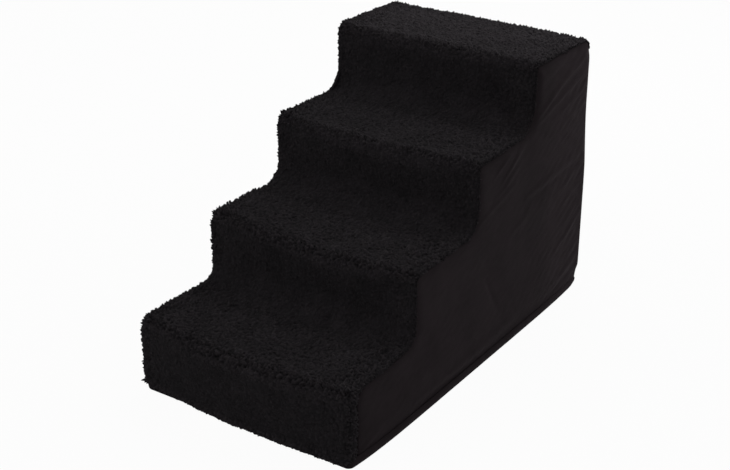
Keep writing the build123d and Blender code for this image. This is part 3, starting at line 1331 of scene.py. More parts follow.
        # The partings are painted darker too: painted shade in the gap
        height = height * (1 - 0.6 * parting)
        rows, count = np.arange(face.shape[0]), np.arange(face.shape[1])
        edge = np.minimum(rows, rows[::-1])[:, None] / self.calm_rows
        side = np.minimum(count, count[::-1])[None] / self.calm_columns
        calm = (np.clip(edge, 0, 1) * np.clip(side, 0, 1))[..., None]
        raised = face + calm * (normal * out[..., None] + lean * (height * self.tuft_lean)[..., None])
        # The tone paints shade between the tufts: low points darker, with more contrast where the pile
        # stands up and opens
        contrast = np.clip(0.3 + 0.6 * open_up, 0.4, 1.7)
        tone = self.mean_tone + (height * 0.8 + locks * 0.2 - self.mean_tone) * contrast
        return raised, np.clip((tone * 0.78 + fine * 0.22) * self.painted_light(face, normal), 0, 1)

    def shell(self, face: np.ndarray, lining: np.ndarray) -> tuple[np.ndarray, list]:
        """Close the fine face and the coarse lining into one shell.

        Args:
            face: the fine face.
            lining: the coarse inner face.

        Returns:
            Points and faces.
        """
        rows, count = face.shape[:2]
        outer = np.arange(rows * count).reshape(rows, count)
        inner = np.arange(lining.shape[0] * lining.shape[1]).reshape(lining.shape[:2]) + outer.size
        quads = np.stack([outer[:-1, :-1], outer[:-1, 1:], outer[1:, 1:], outer[1:, :-1]], axis=2)
        back = np.stack([inner[:-1, :-1], inner[1:, :-1], inner[1:, 1:], inner[:-1, 1:]], axis=2)
        faces = quads.reshape(-1, 4).tolist() + back.reshape(-1, 4).tolist()
        borders = (
            (outer[0], inner[0], 1),
            (outer[-1], inner[-1], -1),
            (outer[:, 0], inner[:, 0], -1),
            (outer[:, -1], inner[:, -1], 1),
        )
        for fine, rough, way in borders:
            for step in range(len(rough) - 1):
                run = fine[step * self.finer : (step + 1) * self.finer + 1].tolist()
                ring = [int(rough[step]), int(rough[step + 1])] + run[::-1]
                faces.append(ring[::way])
        return np.concatenate([face.reshape(-1, 3), lining.reshape(-1, 3)]), faces

    def make(self, finish: bpy.types.Material) -> bpy.types.Object:
        """Build the strip.

        Args:
            finish: the pile's material.

        Returns:
            The finished piece.
        """
        self.lay_columns()
        grid = self.face()
        grid = self.swell(grid)
        face, height = self.pile_up(refine(grid, self.finer))
        points, faces = self.shell(face, self.lining())
        piece = Bench.build("sherpa_pile", points, faces)
        # The stored tone carries the painted shade between the tufts and the pile's painted light and
        # shade
        values = np.zeros(len(points), np.float32)
        values[: height.size] = height.ravel()
        piece.data.attributes.new("pile_tone_and_painted_light", "FLOAT", "POINT").data.foreach_set("value", values)
        Bench.outward(piece)
        Bench.dress(piece, finish, "sherpa", None)
        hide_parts("sherpa_runner")
        return piece

    def seam(self, side: float) -> np.ndarray:
        """The seam with a side panel, from its front foot to its rear top.

        Args:
            side: 1 for the right panel, -1 for the left one.

        Returns:
            Points, one row of Y and Z each.
        """
        wrap = np.array([self.seam_wrap + self.pile])
        corner, radius = self.corners(np.array([side * self.panel_half]), np.ones(1), wrap)
        runs, arcs = self.steps()
        return Outline(corner[:, 1:], radius[:, 1:], runs[1:], arcs[1:]).sample()[0]


class Side(Enum):
    """The two sides of the stairs."""

    LEFT = -1
    RIGHT = 1


@dataclass(frozen=True)
class Fold:
    """One soft fold on a panel: a bent line of Y and Z places, raised or, if negative, sunk."""

    line: tuple[tuple[float, float], ...]
    height: float
    width: float

    def lift(self, places: np.ndarray) -> np.ndarray:
        """How far the fold stands out at each place.

        Args:
            places: Y and Z of each point, in metres.

        Returns:
            Heights in metres.
        """
        knots = np.array(self.line)
        start, along = knots[:-1], np.diff(knots, axis=0)
        square = (along**2).sum(axis=1)
        before = np.concatenate([[0], np.cumsum(np.sqrt(square))])
        away = places[:, None] - start[None]
        share = (away * along).sum(axis=2) / square
        held = np.clip(share, 0, 1)
        gap = np.linalg.norm(away - along * held[..., None], axis=2)
        nearest = gap.argmin(axis=1)
        rows = np.arange(len(places))
        run = before[nearest] + held[rows, nearest] * np.sqrt(square[nearest])
        run = run / before[-1]
        width = self.width * (0.75 + 0.5 * run)
        taper = np.sin(np.clip(0.08 + 0.84 * run, 0, 1) * math.pi) ** 0.7
        return self.height * taper * np.exp(-((gap[rows, nearest] / width) ** 2))


@dataclass(frozen=True)
class RearSeam:
    """The upright seams at the rear corners, where the cover stands off the foam lower down."""

    back: float
    stand_back: float = 0.0045
    stand_out: float = 0.0026
    low: tuple[float, float] = (0.014, 0.045)
    high: tuple[float, float] = (0.19, 0.37)

    def share(self, height: np.ndarray) -> np.ndarray:
        """How much the seam stands off at each height.

        Args:
            height: Z in metres.

        Returns:
            1 where it stands off most, 0 where it lies on the foam.
        """
        rise = ramp(height, self.low[0], self.low[1] - self.low[0])
        fall = np.clip((self.high[1] - height) / (self.high[1] - self.high[0]), 0, 1)
        return rise**2 * (3 - 2 * rise) * fall**2 * (3 - 2 * fall)


@dataclass
class SidePanel:
    """One suede side panel, sewn to the strip, the back and the base."""

    runner: SherpaRunner
    rear: RearSeam
    side: Side
    folds: tuple[Fold, ...]
    spacing: float = 0.0034
    thickness: float = 0.0014
    face: float = 0.198
    tuck: float = 0.0009
    tuck_width: float = 0.0045
    seam_tucks: tuple[float, ...] = (0, 0.0014, 0.0014, 0.0044)
    seam_width: float = 0.010
    bulge: float = 0.0014
    bulge_reach: float = 0.03
    rear_reach: float = 0.02
    fold_margin: float = 0.006
    sway: float = 0.0004
    sway_wave: float = 0.09
    slant: tuple[Pair, Pair] = ((0.25, -0.38), (0.4, 0.9))
    crease_front: float = 0.0001
    crease_rear: float = 0.00025
    crease_wave: float = 0.012
    crease_count: int = 14
    crease_zone: Pair = (0.18, 0.15)
    foot_height: float = 0.09
    foot_roll: float = 0.020
    foot_tuck: float = 0.0004
    foot_hold: float = 0.28
    hidden_foot: float = 0.0045
    seed: int = 5

    @staticmethod
    def bow(along: np.ndarray) -> np.ndarray:
        """How far the foot bows out at each Y: about 1 along it, 0 at the front and back corners."""
        return np.clip(1 - np.abs(along / FOOT_REACH) ** 6, 0, 1) * (1 - 0.7 * along)

    def outline(self) -> np.ndarray:
        """The panel's closed edge, one row of Y and Z for each point."""
        seam = self.runner.seam(self.side.value)
        rear, low = self.rear.back, self.hidden_foot
        down = np.linspace(seam[-1, 1], low, 140)[1:]
        along = np.linspace(rear, seam[0, 0], 220)[1:]
        return np.concatenate(
            [
                seam,
                np.stack([rear + self.rear.stand_back * self.rear.share(down), down], axis=1),
                np.stack([along, np.full_like(along, low)], axis=1),
            ]
        )

    def distance(self, places: np.ndarray, edge: np.ndarray, closed: bool = True) -> np.ndarray:
        """Distance from each place to the nearest point of the edge.

        Args:
            places: Y and Z of each place.
            edge: the edge's points.
            closed: whether its last point is joined to its first.

        Returns:
            Distances in metres.
        """
        start, end = edge, np.roll(edge, -1, axis=0)
        if not closed:
            start, end = start[:-1], end[:-1]
        along = end - start
        square = np.maximum((along**2).sum(axis=1), 1e-12)
        found = np.empty(len(places))
        for first in range(0, len(places), 2000):
            part = places[first : first + 2000, None] - start[None]
            share = np.clip((part * along).sum(axis=2) / square, 0, 1)
            away = np.linalg.norm(part - along * share[..., None], axis=2)
            found[first : first + 2000] = away.min(axis=1)
        return found

    def lay(self) -> tuple[np.ndarray, list, np.ndarray]:
        """Cover the panel's outline with small, even triangles.

        Returns:
            Places, faces, and each place's distance from the edge.
        """
        edge = self.outline()
        keep = np.linalg.norm(edge - np.roll(edge, 1, axis=0), axis=1) > 1e-5
        edge = edge[keep]
        low, high = edge.min(axis=0), edge.max(axis=0)
        rows = []
        for number, z in enumerate(np.arange(low[1], high[1], self.spacing * 0.87)):
            shift = self.spacing / 2 * (number % 2)
            y = np.arange(low[0] + shift, high[0], self.spacing)
            rows.append(np.stack([y, np.full_like(y, z)], axis=1))
        inside = np.concatenate(rows)
        inside = inside[self.distance(inside, edge) > self.spacing * 0.5]
        places = [Vector(p) for p in np.concatenate([edge, inside]).tolist()]
        loop = [list(range(len(edge)))]
        points, _, faces, _, _, _ = delaunay_2d_cdt(places, [], loop, 1, 1e-7)
        used, index = np.unique(np.array(faces), return_inverse=True)
        found = np.array([(points[i].x, points[i].y) for i in used])
        return found, index.reshape(-1, 3).tolist(), self.distance(found, edge)

    def make(self, finish: bpy.types.Material) -> bpy.types.Object:
        """Build the panel.

        Args:
            finish: the suede's material.

        Returns:
            The finished piece.
        """
        places, faces, edge = self.lay()
        way = self.side.value
        swell = self.bulge * (1 - np.exp(-edge / self.bulge_reach))
        near = np.exp(-(self.rear.back - places[:, 0]) / self.rear_reach)
        behind = np.clip(self.rear.share(places[:, 1]) * near, 0, 1)
        lift = swell - self.tuck * (1 - 0.75 * behind) * hump(edge, self.tuck_width)
        if self.side is Side.RIGHT:
            seam = self.distance(places, self.runner.seam(way), closed=False)
            drawn = np.interp(places[:, 1], self.runner.right_heights, self.seam_tucks)
            drawn *= self.runner.rear_share(places[:, 0])
            lift -= drawn * hump(seam, self.seam_width)
        lift += self.rear.stand_out * behind
        calm = 1 - hump(edge, self.fold_margin)
        lift += calm * sum(fold.lift(places) for fold in self.folds)
        lift += calm * self.sway * ripple(places, self.sway_wave, self.seed)
        creases = ripple(
            places @ np.array(self.slant), self.crease_wave, self.seed + 1, self.crease_count
        )
        rear = ramp(places[:, 0], *self.crease_zone)
        lift += calm * (self.crease_front + self.crease_rear * rear) * creases
        low = hump(places[:, 1], self.foot_height) * self.bow(places[:, 0])
        lift += FOOT_BOW * low
        under = hump(np.maximum(places[:, 1] - self.runner.rim_height, 0), self.foot_roll)
        lift -= under * (self.foot_tuck + self.foot_hold * FOOT_BOW * low)
        points = np.stack([way * (self.face + lift), places[:, 0], places[:, 1]], axis=1)
        name = f"{self.side.name.lower()}_side_suede"
        piece = Bench.build(name, points, faces if way > 0 else [f[::-1] for f in faces])
        Bench.modify(piece, "SOLIDIFY", thickness=self.thickness, offset=-1)
        Bench.outward(piece)
        Bench.dress(piece, finish, "suede", None)
        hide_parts(f"{self.side.name.lower()}_side_panel")
        low, high = places.min(axis=0), places.max(axis=0)
        high[0] - low[0]
        high[1] - low[1]
        return piece

    @staticmethod
    def area(places: np.ndarray, faces: list) -> float:
        """The flat cut's area.

        Args:
            places: Y and Z of each point.
            faces: triangles.

        Returns:
            Square metres.
        """
        a, b, c = (places[np.array([f[k] for f in faces])] for k in range(3))
        u, v = b - a, c - a
        return float(np.abs(u[:, 0] * v[:, 1] - u[:, 1] * v[:, 0]).sum() / 2)


@dataclass
class BackPanel:
    """One part of the cover's back, above or below the zip."""

    form: StairForm
    rear: RearSeam
    name: str
    node: str
    low: float
    high: float
    lap_edge: float
    thickness: float = 0.0014
    spacing: float = 0.0038
    overlap: float = 0.0005
    swell: float = 0.0008
    swell_reach: float = 0.03
    side_tuck: Pair = (0.0011, 0.003)
    lap_tuck: Pair = (0.0006, 0.0012)
    stitch_tuck: Pair = (0.0004, 0.0009)
    margin: float = 0.008
    sway: float = 0.0005
    sway_wave: float = 0.11
    pucker: float = 0.00035
    pucker_reach: Pair = (0.018, 0.004)
    pucker_wave: float = 0.014
    corner_zone: Pair = (0.176, 0.02)
    corner_out: float = 0.0012
    body: Pair = (0.08, 0.07)
    top_tuck: float = 0.0028
    top_zone: Pair = (0.40, 0.04)
    seed: int = 21

    def make(self, finish: bpy.types.Material) -> bpy.types.Object:
        """Build the panel.

        Args:
            finish: the suede's material.

        Returns:
            The finished piece.
        """
        width, height = 2 * self.form.half_width + 2 * self.overlap, self.high - self.low
        piece = Bench.start(
            self.name,
            bpy.ops.mesh.primitive_grid_add,
            x_subdivisions=int(width / self.spacing),
            y_subdivisions=max(12, int(height / self.spacing)),
            size=1,
            location=(0, 0, 0),
        )
        flat = Bench.points(piece)
        across = flat[:, 0] * width
        up = (flat[:, 1] + 0.5) * height + self.low
        places = np.stack([across, up], axis=1)
        side = self.form.half_width + self.overlap - np.abs(across)
        ends = np.minimum(up - self.low, self.high - up)
        edge = np.minimum(side, ends)
        lap = np.abs(up - self.lap_edge)
        lift = self.swell * (1 - np.exp(-edge / self.swell_reach))
        tucks = [(side, self.side_tuck), (lap, self.lap_tuck)]
        tucks += [(lap - row, self.stitch_tuck) for row in STITCH_ROWS]
        for away, (depth, reach) in tucks:
            lift -= depth * hump(away, reach)
        calm = 1 - hump(edge, self.margin)
        lift += calm * self.sway * ripple(places, self.sway_wave, self.seed)
        puckers = np.exp(-lap / self.pucker_reach[0]) * (1 - hump(lap, self.pucker_reach[1]))
        drawn = ripple(places * np.array([1, 0.15]), self.pucker_wave, self.seed + 2, 12)
        lift += self.pucker * puckers * drawn
        share, corner = self.rear.share(up), ramp(np.abs(across), *self.corner_zone) ** 2
        body = ramp(up, *self.body) ** 2
        lift += self.rear.stand_back * share * (corner + (1 - corner) * body)
        out = self.rear.stand_out * share + self.corner_out * corner
        across = across + np.sign(across) * out * corner
        across -= np.where(across > 0, self.top_tuck, 0) * corner * ramp(up, *self.top_zone)
        Bench.move(piece, np.stack([across, self.rear.back + lift, up], axis=1))
        Bench.outward(piece)
        Bench.thicken(piece, self.thickness)
        Bench.dress(piece, finish, "suede", None)
        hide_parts(self.node)
        return piece


@dataclass
class BaseCloth:
    """The grip cloth under the stairs with its rim turned up and sewn into a rolled welt."""

    form: StairForm
    half_width: float = 0.2
    middle: float = 0.00725
    half_depth: float = 0.371
    corner: float = 0.009
    rim_height: float = 0.014
    bow_zone: Pair = (0.15, 0.04)
    straight: Pair = (0.19, 0.36)
    rear_lift: float = 0.008
    rear_zone: Pair = (0.348, 0.03)
    side_zone: Pair = (0.16, 0.035)
    front_lift: float = 0.0060
    front_zone: Pair = (0.352, 0.012)
    left_zone: Pair = (0.07, 0.05)
    lift_height: float = 0.0139
    lift_reach: float = 0.004
    waves: tuple[Pair, Pair] = ((0.00025, 0.06), (0.0002, 0.02))
    profile: tuple[tuple[float, float], ...] = (
        (0.0125, 0.001),
        (0.0118, 0.0002),
        (0.0100, 0.0000),
        (0.0018, 0.0000),
        (0.0006, 0.0006),
        (0.0001, 0.0022),
        (-0.0004, 0.0050),
        (-0.0005, 0.0080),
        (-0.0001, 0.0108),
        (0.0008, 0.0129),
        (0.0020, 0.0139),
        (0.0031, 0.0137),
        (0.0036, 0.0126),
        (0.0036, 0.0034),
    )
    seed: int = 31

    def ring(self, inset: float) -> np.ndarray:
        """A rounded rectangle, inset from the rim.

        Args:
            inset: metres in from the outer edge.

        Returns:
            Points round it, one row of X and Y each.
        """
        radius = max(self.corner - inset, 0.001)
        half = np.array([self.half_width - inset - radius, self.half_depth - inset - radius])
        counts = (96, 176)
        points = []
        for quarter, (sx, sy) in enumerate(((1, 1), (-1, 1), (-1, -1), (1, -1))):
            for step in range(9):
                angle = math.pi / 2 * (quarter + step / 8)
                points.append(
                    (sx * half[0] + radius * math.cos(angle), sy * half[1] + radius * math.sin(angle))
                )
            here = np.array(points[-1])
            nx, ny = ((-1, 1), (-1, -1), (1, -1), (1, 1))[quarter]
            angle = math.pi / 2 * (quarter + 1)
            there = np.array(
                [nx * half[0] + radius * math.cos(angle), ny * half[1] + radius * math.sin(angle)]
            )
            count = counts[quarter % 2]
            for step in range(1, count):
                points.append(tuple(here + (there - here) * step / count))
        return np.array(points) + np.array([0, self.middle])

    def corner_lift(self, ring: np.ndarray, inset: float, height: float) -> np.ndarray:
        """How far the rim's foot draws up at the rear corners and the front left one.

        Args:
            ring: X and Y of the points.
            inset: how far in from the rim they are.
            height: their height before.

        Returns:
            Metres for each point.
        """
        free = max(0.0, 1 - height / self.lift_height) * hump(max(inset, 0), self.lift_reach)
        rear = ramp(ring[:, 1], *self.rear_zone) * ramp(np.abs(ring[:, 0]), *self.side_zone)
        front = ramp(-ring[:, 1], *self.front_zone) * ramp(-ring[:, 0], *self.left_zone)
        return free * (self.rear_lift * rear**2 + self.front_lift * front)

    def make(self, rim: bpy.types.Material, sole: bpy.types.Material) -> bpy.types.Object:
        """Build the base.

        Args:
            rim: the material of the turned-up rim.
            sole: the grip cloth's material.

        Returns:
            The finished piece.
        """
        rings = []
        for inset, height in self.profile:
            ring = self.ring(inset)
            wave = sum(
                size * ripple(ring, length, self.seed + number)
                for number, (size, length) in enumerate(self.waves)
            )
            free = math.sin(math.pi * min(max(height / self.rim_height, 0), 1))
            outward = ring - np.array([0, self.middle])
            size = np.abs(outward)
            outward = outward / np.maximum(size, 1e-6) * (size > np.array(self.straight))
            ring = ring + outward * (wave * free)[:, None]
            bowed = np.sign(ring[:, 0]) * FOOT_BOW * SidePanel.bow(ring[:, 1])
            ring[:, 0] += bowed * ramp(np.abs(ring[:, 0]), *self.bow_zone)
            rings.append(np.column_stack([ring, height + self.corner_lift(ring, inset, height)]))
        count = len(rings[0])
        points = np.concatenate(rings)
        index = np.arange(len(points)).reshape(len(rings), count)
        after = np.roll(index, -1, axis=1)
        quads = np.stack([index[:-1], after[:-1], after[1:], index[1:]], axis=2).reshape(-1, 4).tolist()
        faces = quads + [index[0].tolist()[::-1], index[-1].tolist()]
        piece = Bench.build("base_grip_cloth", points, faces)
        Bench.outward(piece)
        Bench.dress(piece, rim, "grip_cloth", 40)
        piece.data.materials.append(sole)
        for face in piece.data.polygons:
            across = abs(face.center.x) - self.half_width
            along = abs(face.center.y - self.middle) - self.half_depth
            if face.normal.z < -0.7 and max(across, along) < -0.001:
                face.material_index = 1
        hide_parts("base_panel")
        2 * self.half_width + 0.03
        2 * self.half_depth + 0.03
        return piece


@dataclass
class FoamStack:
    """The glued foam slabs inside the cover, their edges eased by its pull."""

    runner: SherpaRunner
    eased: tuple[float, ...] = (0.010, 0.010, 0.010, 0.015)
    drawn_in: tuple[float, ...] = (0.0015, 0.0025, 0.0025, 0.0045)
    top_sag: float = 0.0036
    unevenness: float = 0.0002
    running_gap: float = 0.0003
    seed: int = 61

    def cut_channel(self, slab: bpy.types.Object) -> None:
        """Cut the shallow channel in which the slider's lower plate runs.

        Args:
            slab: the lowest slab.
        """
        low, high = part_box("zip_slider")
        low -= Vector((0, 1, 1)) * self.running_gap
        high += Vector((0, 0, 1)) * self.running_gap
        low.x, high.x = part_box("zip_bottom_stop")[0].x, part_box("zip_end_stops")[1].x
        cube = bpy.ops.mesh.primitive_cube_add
        tool = Bench.start("channel_tool", cube, size=1, location=(low + high) / 2)
        tool.scale = high - low
        Bench.settle(tool)
        Bench.modify(slab, "BOOLEAN", operation="DIFFERENCE", object=tool, solver="EXACT")
        bpy.data.objects.remove(tool)

    def make(self, finish: bpy.types.Material) -> list[bpy.types.Object]:
        """Build the slabs.

        Args:
            finish: the foam's material.

        Returns:
            The finished slabs.
        """
        made = []
        for number, (node, radius, drawn) in enumerate(zip(SLABS, self.eased, self.drawn_in)):
            low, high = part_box(node)
            cube = bpy.ops.mesh.primitive_cube_add
            slab = Bench.start(f"{node}_cut", cube, size=1, location=(low + high) / 2)
            slab.scale = high - low - Vector((1, 1, 0)) * 4 * self.unevenness - Vector((2 * drawn, 0, 0))
            Bench.settle(slab)
            bpy.ops.object.mode_set(mode="EDIT")
            bpy.ops.mesh.select_all(action="SELECT")
            bpy.ops.mesh.bevel(offset=radius, segments=4, affect="EDGES")
            bpy.ops.mesh.select_all(action="SELECT")
            bpy.ops.mesh.subdivide(number_cuts=5)
            bpy.ops.object.mode_set(mode="OBJECT")
            points = Bench.points(slab)
            if node == SLABS[-1]:
                upper = np.clip((points[:, 2] - low.z) / (high.z - low.z) * 2 - 1, 0, 1)
                corner = ramp(points[:, 0], *self.runner.corner_zone)
                sunk = self.top_sag + self.runner.corner_sag * corner
                points[:, 2] -= sunk * upper * (points[:, 1] - low.y) / (high.y - low.y)
            sway = ripple(points, 0.03, self.seed + number)[:, None] * np.array([1, 1, 0])
            Bench.move(slab, points + self.unevenness * np.clip(sway, -1, 1))
            if node == SLABS[0]:
                self.cut_channel(slab)
            Bench.outward(slab)
            Bench.dress(slab, finish, "foam", 40)
            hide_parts(node)
            made.append(slab)
        return made


@dataclass
class GripDots:
    """Low rubber domes printed on the underside."""

    radius: float = 0.004
    height: float = 0.001
    spacing: float = 0.044

    def make(self, finish: bpy.types.Material) -> bpy.types.Object:
        """Build the dots from one dome.

        Args:
            finish: the rubber's material.

        Returns:
            The finished piece.
        """
        low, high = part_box("grip_dots")
        across = round((high.x - low.x - 2 * self.radius) / self.spacing) + 1
        along = round((high.y - low.y - 2 * self.radius) / self.spacing) + 1
        piece = Bench.start(
            "grip_dot_domes",
            bpy.ops.mesh.primitive_cylinder_add,
            vertices=16,
            radius=self.radius,
            depth=self.height,
            location=(low.x + self.radius, low.y + self.radius, self.height / 2),
        )
        Bench.settle(piece)
        bpy.ops.object.mode_set(mode="EDIT")
        bpy.ops.mesh.select_all(action="DESELECT")
        bpy.ops.object.mode_set(mode="OBJECT")
        for edge in piece.data.edges:
            ends = [piece.data.vertices[v].co.z for v in edge.vertices]
            edge.select = max(ends) < 1e-6
        bpy.ops.object.mode_set(mode="EDIT")
        bpy.ops.mesh.select_mode(type="EDGE")
        bpy.ops.mesh.bevel(offset=self.height * 0.75, segments=3)
        bpy.ops.object.mode_set(mode="OBJECT")
        for offset, count in (((self.spacing, 0, 0), across), ((0, self.spacing, 0), along)):
            Bench.repeat(piece, count, offset)
        Bench.dress(piece, finish, "grip_dots", 50)
        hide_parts("grip_dots")
        return piece


@dataclass
class StitchRow:
    """A straight row of sewn stitches along X."""

    start: tuple[float, float, float]
    length: float
    stitch: float = 0.003
    gap: float = 0.0011
    thread: float = 0.00045

    def make(self) -> bpy.types.Object:
        """Build the row from one stitch.

        Returns:
            The row, not yet dressed.
        """
        pitch = self.stitch + self.gap
        count = int(self.length / pitch)
        sphere = bpy.ops.mesh.primitive_uv_sphere_add
        piece = Bench.start(
            "stitch_row", sphere, segments=6, ring_count=5, radius=1, location=(0, 0, 0)
        )
        flat = Bench.points(piece)
        length, width = self.stitch / 2, self.thread
        shaped = np.stack([flat[:, 2] * length, flat[:, 1] * width, flat[:, 0] * width], axis=1)
        along = np.array([1.0, 0, 0])
        middle = np.array(self.start) + along * (self.length - (count - 1) * pitch) / 2
        Bench.move(piece, shaped + middle)
        Bench.outward(piece)
        Bench.repeat(piece, count, along * pitch)
        return piece


@dataclass
class ZipFastener:
    """The zip across the back: its tapes and coils."""

    form: StairForm
    pitch: float = 0.0015
    wire: float = 0.00034
    closing: float = 0.00025
    tape_thickness: float = 0.0006
    tape_wave: Pair = (0.0001, 0.03)
    coil_lean: float = 0.0003
    bead: float = 0.3
    coil_parts: tuple[tuple[str, int], ...] = (("upper", 1), ("lower", -1))

    def closed_up(self, node: str, row: str) -> tuple[Vector, Vector]:
        """A node's box, widened towards the zip's middle as far as the slider's post leaves room.

        Args:
            node: the tape or the coil.
            row: upper or lower.

        Returns:
            The box's low and high corners.
        """
        low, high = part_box(node)
        if row == "upper":
            low.z -= self.closing
        else:
            high.z += self.closing
        return low, high

    def tape(self, row: str, finish: bpy.types.Material) -> bpy.types.Object:
        """Build one tape from a grid, a little uneven along its sewn edge.

        Args:
            row: upper or lower.
            finish: the tape's material.

        Returns:
            The finished piece.
        """
        low, high = self.closed_up(f"zip_tape_{row}", row)
        size = high - low
        grid, name = bpy.ops.mesh.primitive_grid_add, f"zip_tape_{row}_woven"
        piece = Bench.start(
            name, grid, x_subdivisions=130, y_subdivisions=8, size=1, location=(0, 0, 0)
        )
        flat = Bench.points(piece)
        places = np.stack([flat[:, 0] * size.x, (flat[:, 1] + 0.5) * size.z + low.z], axis=1)
        depth, length = self.tape_wave
        wave = depth * ripple(places, length, 41 if row == "upper" else 43)
        middle, face = (low.x + high.x) / 2, high.y - depth
        Bench.move(piece, np.stack([places[:, 0] + middle, face + wave, places[:, 1]], axis=1))
        Bench.thicken(piece, self.tape_thickness)
        Bench.dress(piece, finish, "zip_tape", None)
        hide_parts(f"zip_tape_{row}")
        return piece

    def coil(self, row: str, way: int, finish: bpy.types.Material) -> bpy.types.Object:
        """Build one coil from a single turn of wire.

        Args:
            row: upper or lower.
            way: 1 for the upper coil, -1 for the lower one.
            finish: the coil's material.

        Returns:
            The finished piece.
        """
        low, high = self.closed_up(f"zip_coil_{row}", row)
        size, middle = high - low, (high + low) / 2
        count = int(size.x / self.pitch)
        start = middle.x - (count - 1) * self.pitch / 2 + way * self.pitch / 4
        piece = Bench.start(
            f"zip_coil_{row}_turns",
            bpy.ops.mesh.primitive_torus_add,
            major_segments=10,
            minor_segments=5,
            major_radius=1,
            minor_radius=self.bead,
            location=(0, 0, 0),
        )
        flat = Bench.points(piece)
        ring = np.linalg.norm(flat[:, :2], axis=1)
        angle = np.arctan2(flat[:, 1], flat[:, 0])
        bead, rise = (ring - 1) / self.bead * self.wire, flat[:, 2] / self.bead * self.wire
        reach_z, reach_y = size.z / 2 - self.wire, size.y / 2 - self.wire
        points = np.stack(
            [
                rise + self.coil_lean * np.sin(angle) + start,
                middle.y + np.sin(angle) * (reach_y + bead),
                middle.z + np.cos(angle) * (reach_z + bead),
            ],
            axis=1,
        )
        Bench.move(piece, points)
        Bench.outward(piece)
        Bench.repeat(piece, count, (self.pitch, 0, 0))
        Bench.dress(piece, finish, "zip_coil", None)
        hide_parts(f"zip_coil_{row}")
        return piece


@dataclass
class Studio:
    """Camera, floor, world and soft lamps."""

    azimuth: float = 34.26
    elevation: float = 25.18
    distance: float = 2.352
    target: tuple[float, float, float] = (0.0024, -0.0327, 0.2047)
    lens: float = 69.63
    world: float = 0.42
    aim: tuple[float, float, float] = (0, 0, 0.2)
    lamps: tuple[tuple[str, tuple[float, float, float], float, float], ...] = (
        ("lamp_back", (-0.15, 1.5, 1.75), 1.5, 17.5),
        ("lamp_right", (1.6, 1.3, 1.3), 1.0, 4),
        ("lamp_left", (-1.8, -1.2, 1.8), 1.6, 6),
    )

    def camera(self) -> None:
        """Set the camera at the photograph's angle."""
        turn, rise = math.radians(self.azimuth), math.radians(self.elevation)
        back = Vector(
            (math.sin(turn) * math.cos(rise), -math.cos(turn) * math.cos(rise), math.sin(rise))
        )
        data = bpy.data.cameras.new("camera")
        data.lens, data.sensor_width = self.lens, 36
        data.clip_end = 60
        camera = bpy.data.objects.new("camera", data)
        camera.location = Vector(self.target) + back * self.distance
        camera.rotation_euler = (-back).to_track_quat("-Z", "Y").to_euler()
        bpy.context.scene.collection.objects.link(camera)
        bpy.context.scene.camera = camera

    def floor(self) -> None:
        """Lay a wide pale floor under the stairs."""
        plane = Bench.start("floor", bpy.ops.mesh.primitive_plane_add, size=24, location=(0, 0, 0))
        plane.data.materials.append(FloorFinish().make())

    def sky(self) -> None:
        """Light the stairs from all round, and show white to the camera."""
        graph = Graph("studio", world=True)
        soft, white = (
            graph.node("ShaderNodeBackground", None, {"Color": WHITE, "Strength": strength})
            for strength in (self.world, 1)
        )
        bpy.context.scene.world = graph.finish(graph.mix(graph.seen(), soft, white))

    def lamp(self, name: str, place: Sequence[float], size: float, power: float) -> None:
        """Hang one soft lamp that looks at the stairs.

        Args:
            name: its name.
            place: where it hangs.
            size: its width in metres.
            power: its power in watts.
        """
        data = bpy.data.lights.new(name, "AREA")
        data.shape, data.size, data.energy = "SQUARE", size, power
        lamp = bpy.data.objects.new(name, data)
        lamp.location = place
        look = Vector(self.aim) - Vector(place)
        lamp.rotation_euler = look.to_track_quat("-Z", "Y").to_euler()
        bpy.context.scene.collection.objects.link(lamp)

    def make(self) -> None:
        """Build the studio."""
        self.camera()
        self.floor()
        self.sky()
        for lamp in self.lamps:
            self.lamp(*lamp)
        bpy.context.scene.view_settings.view_transform = "Standard"


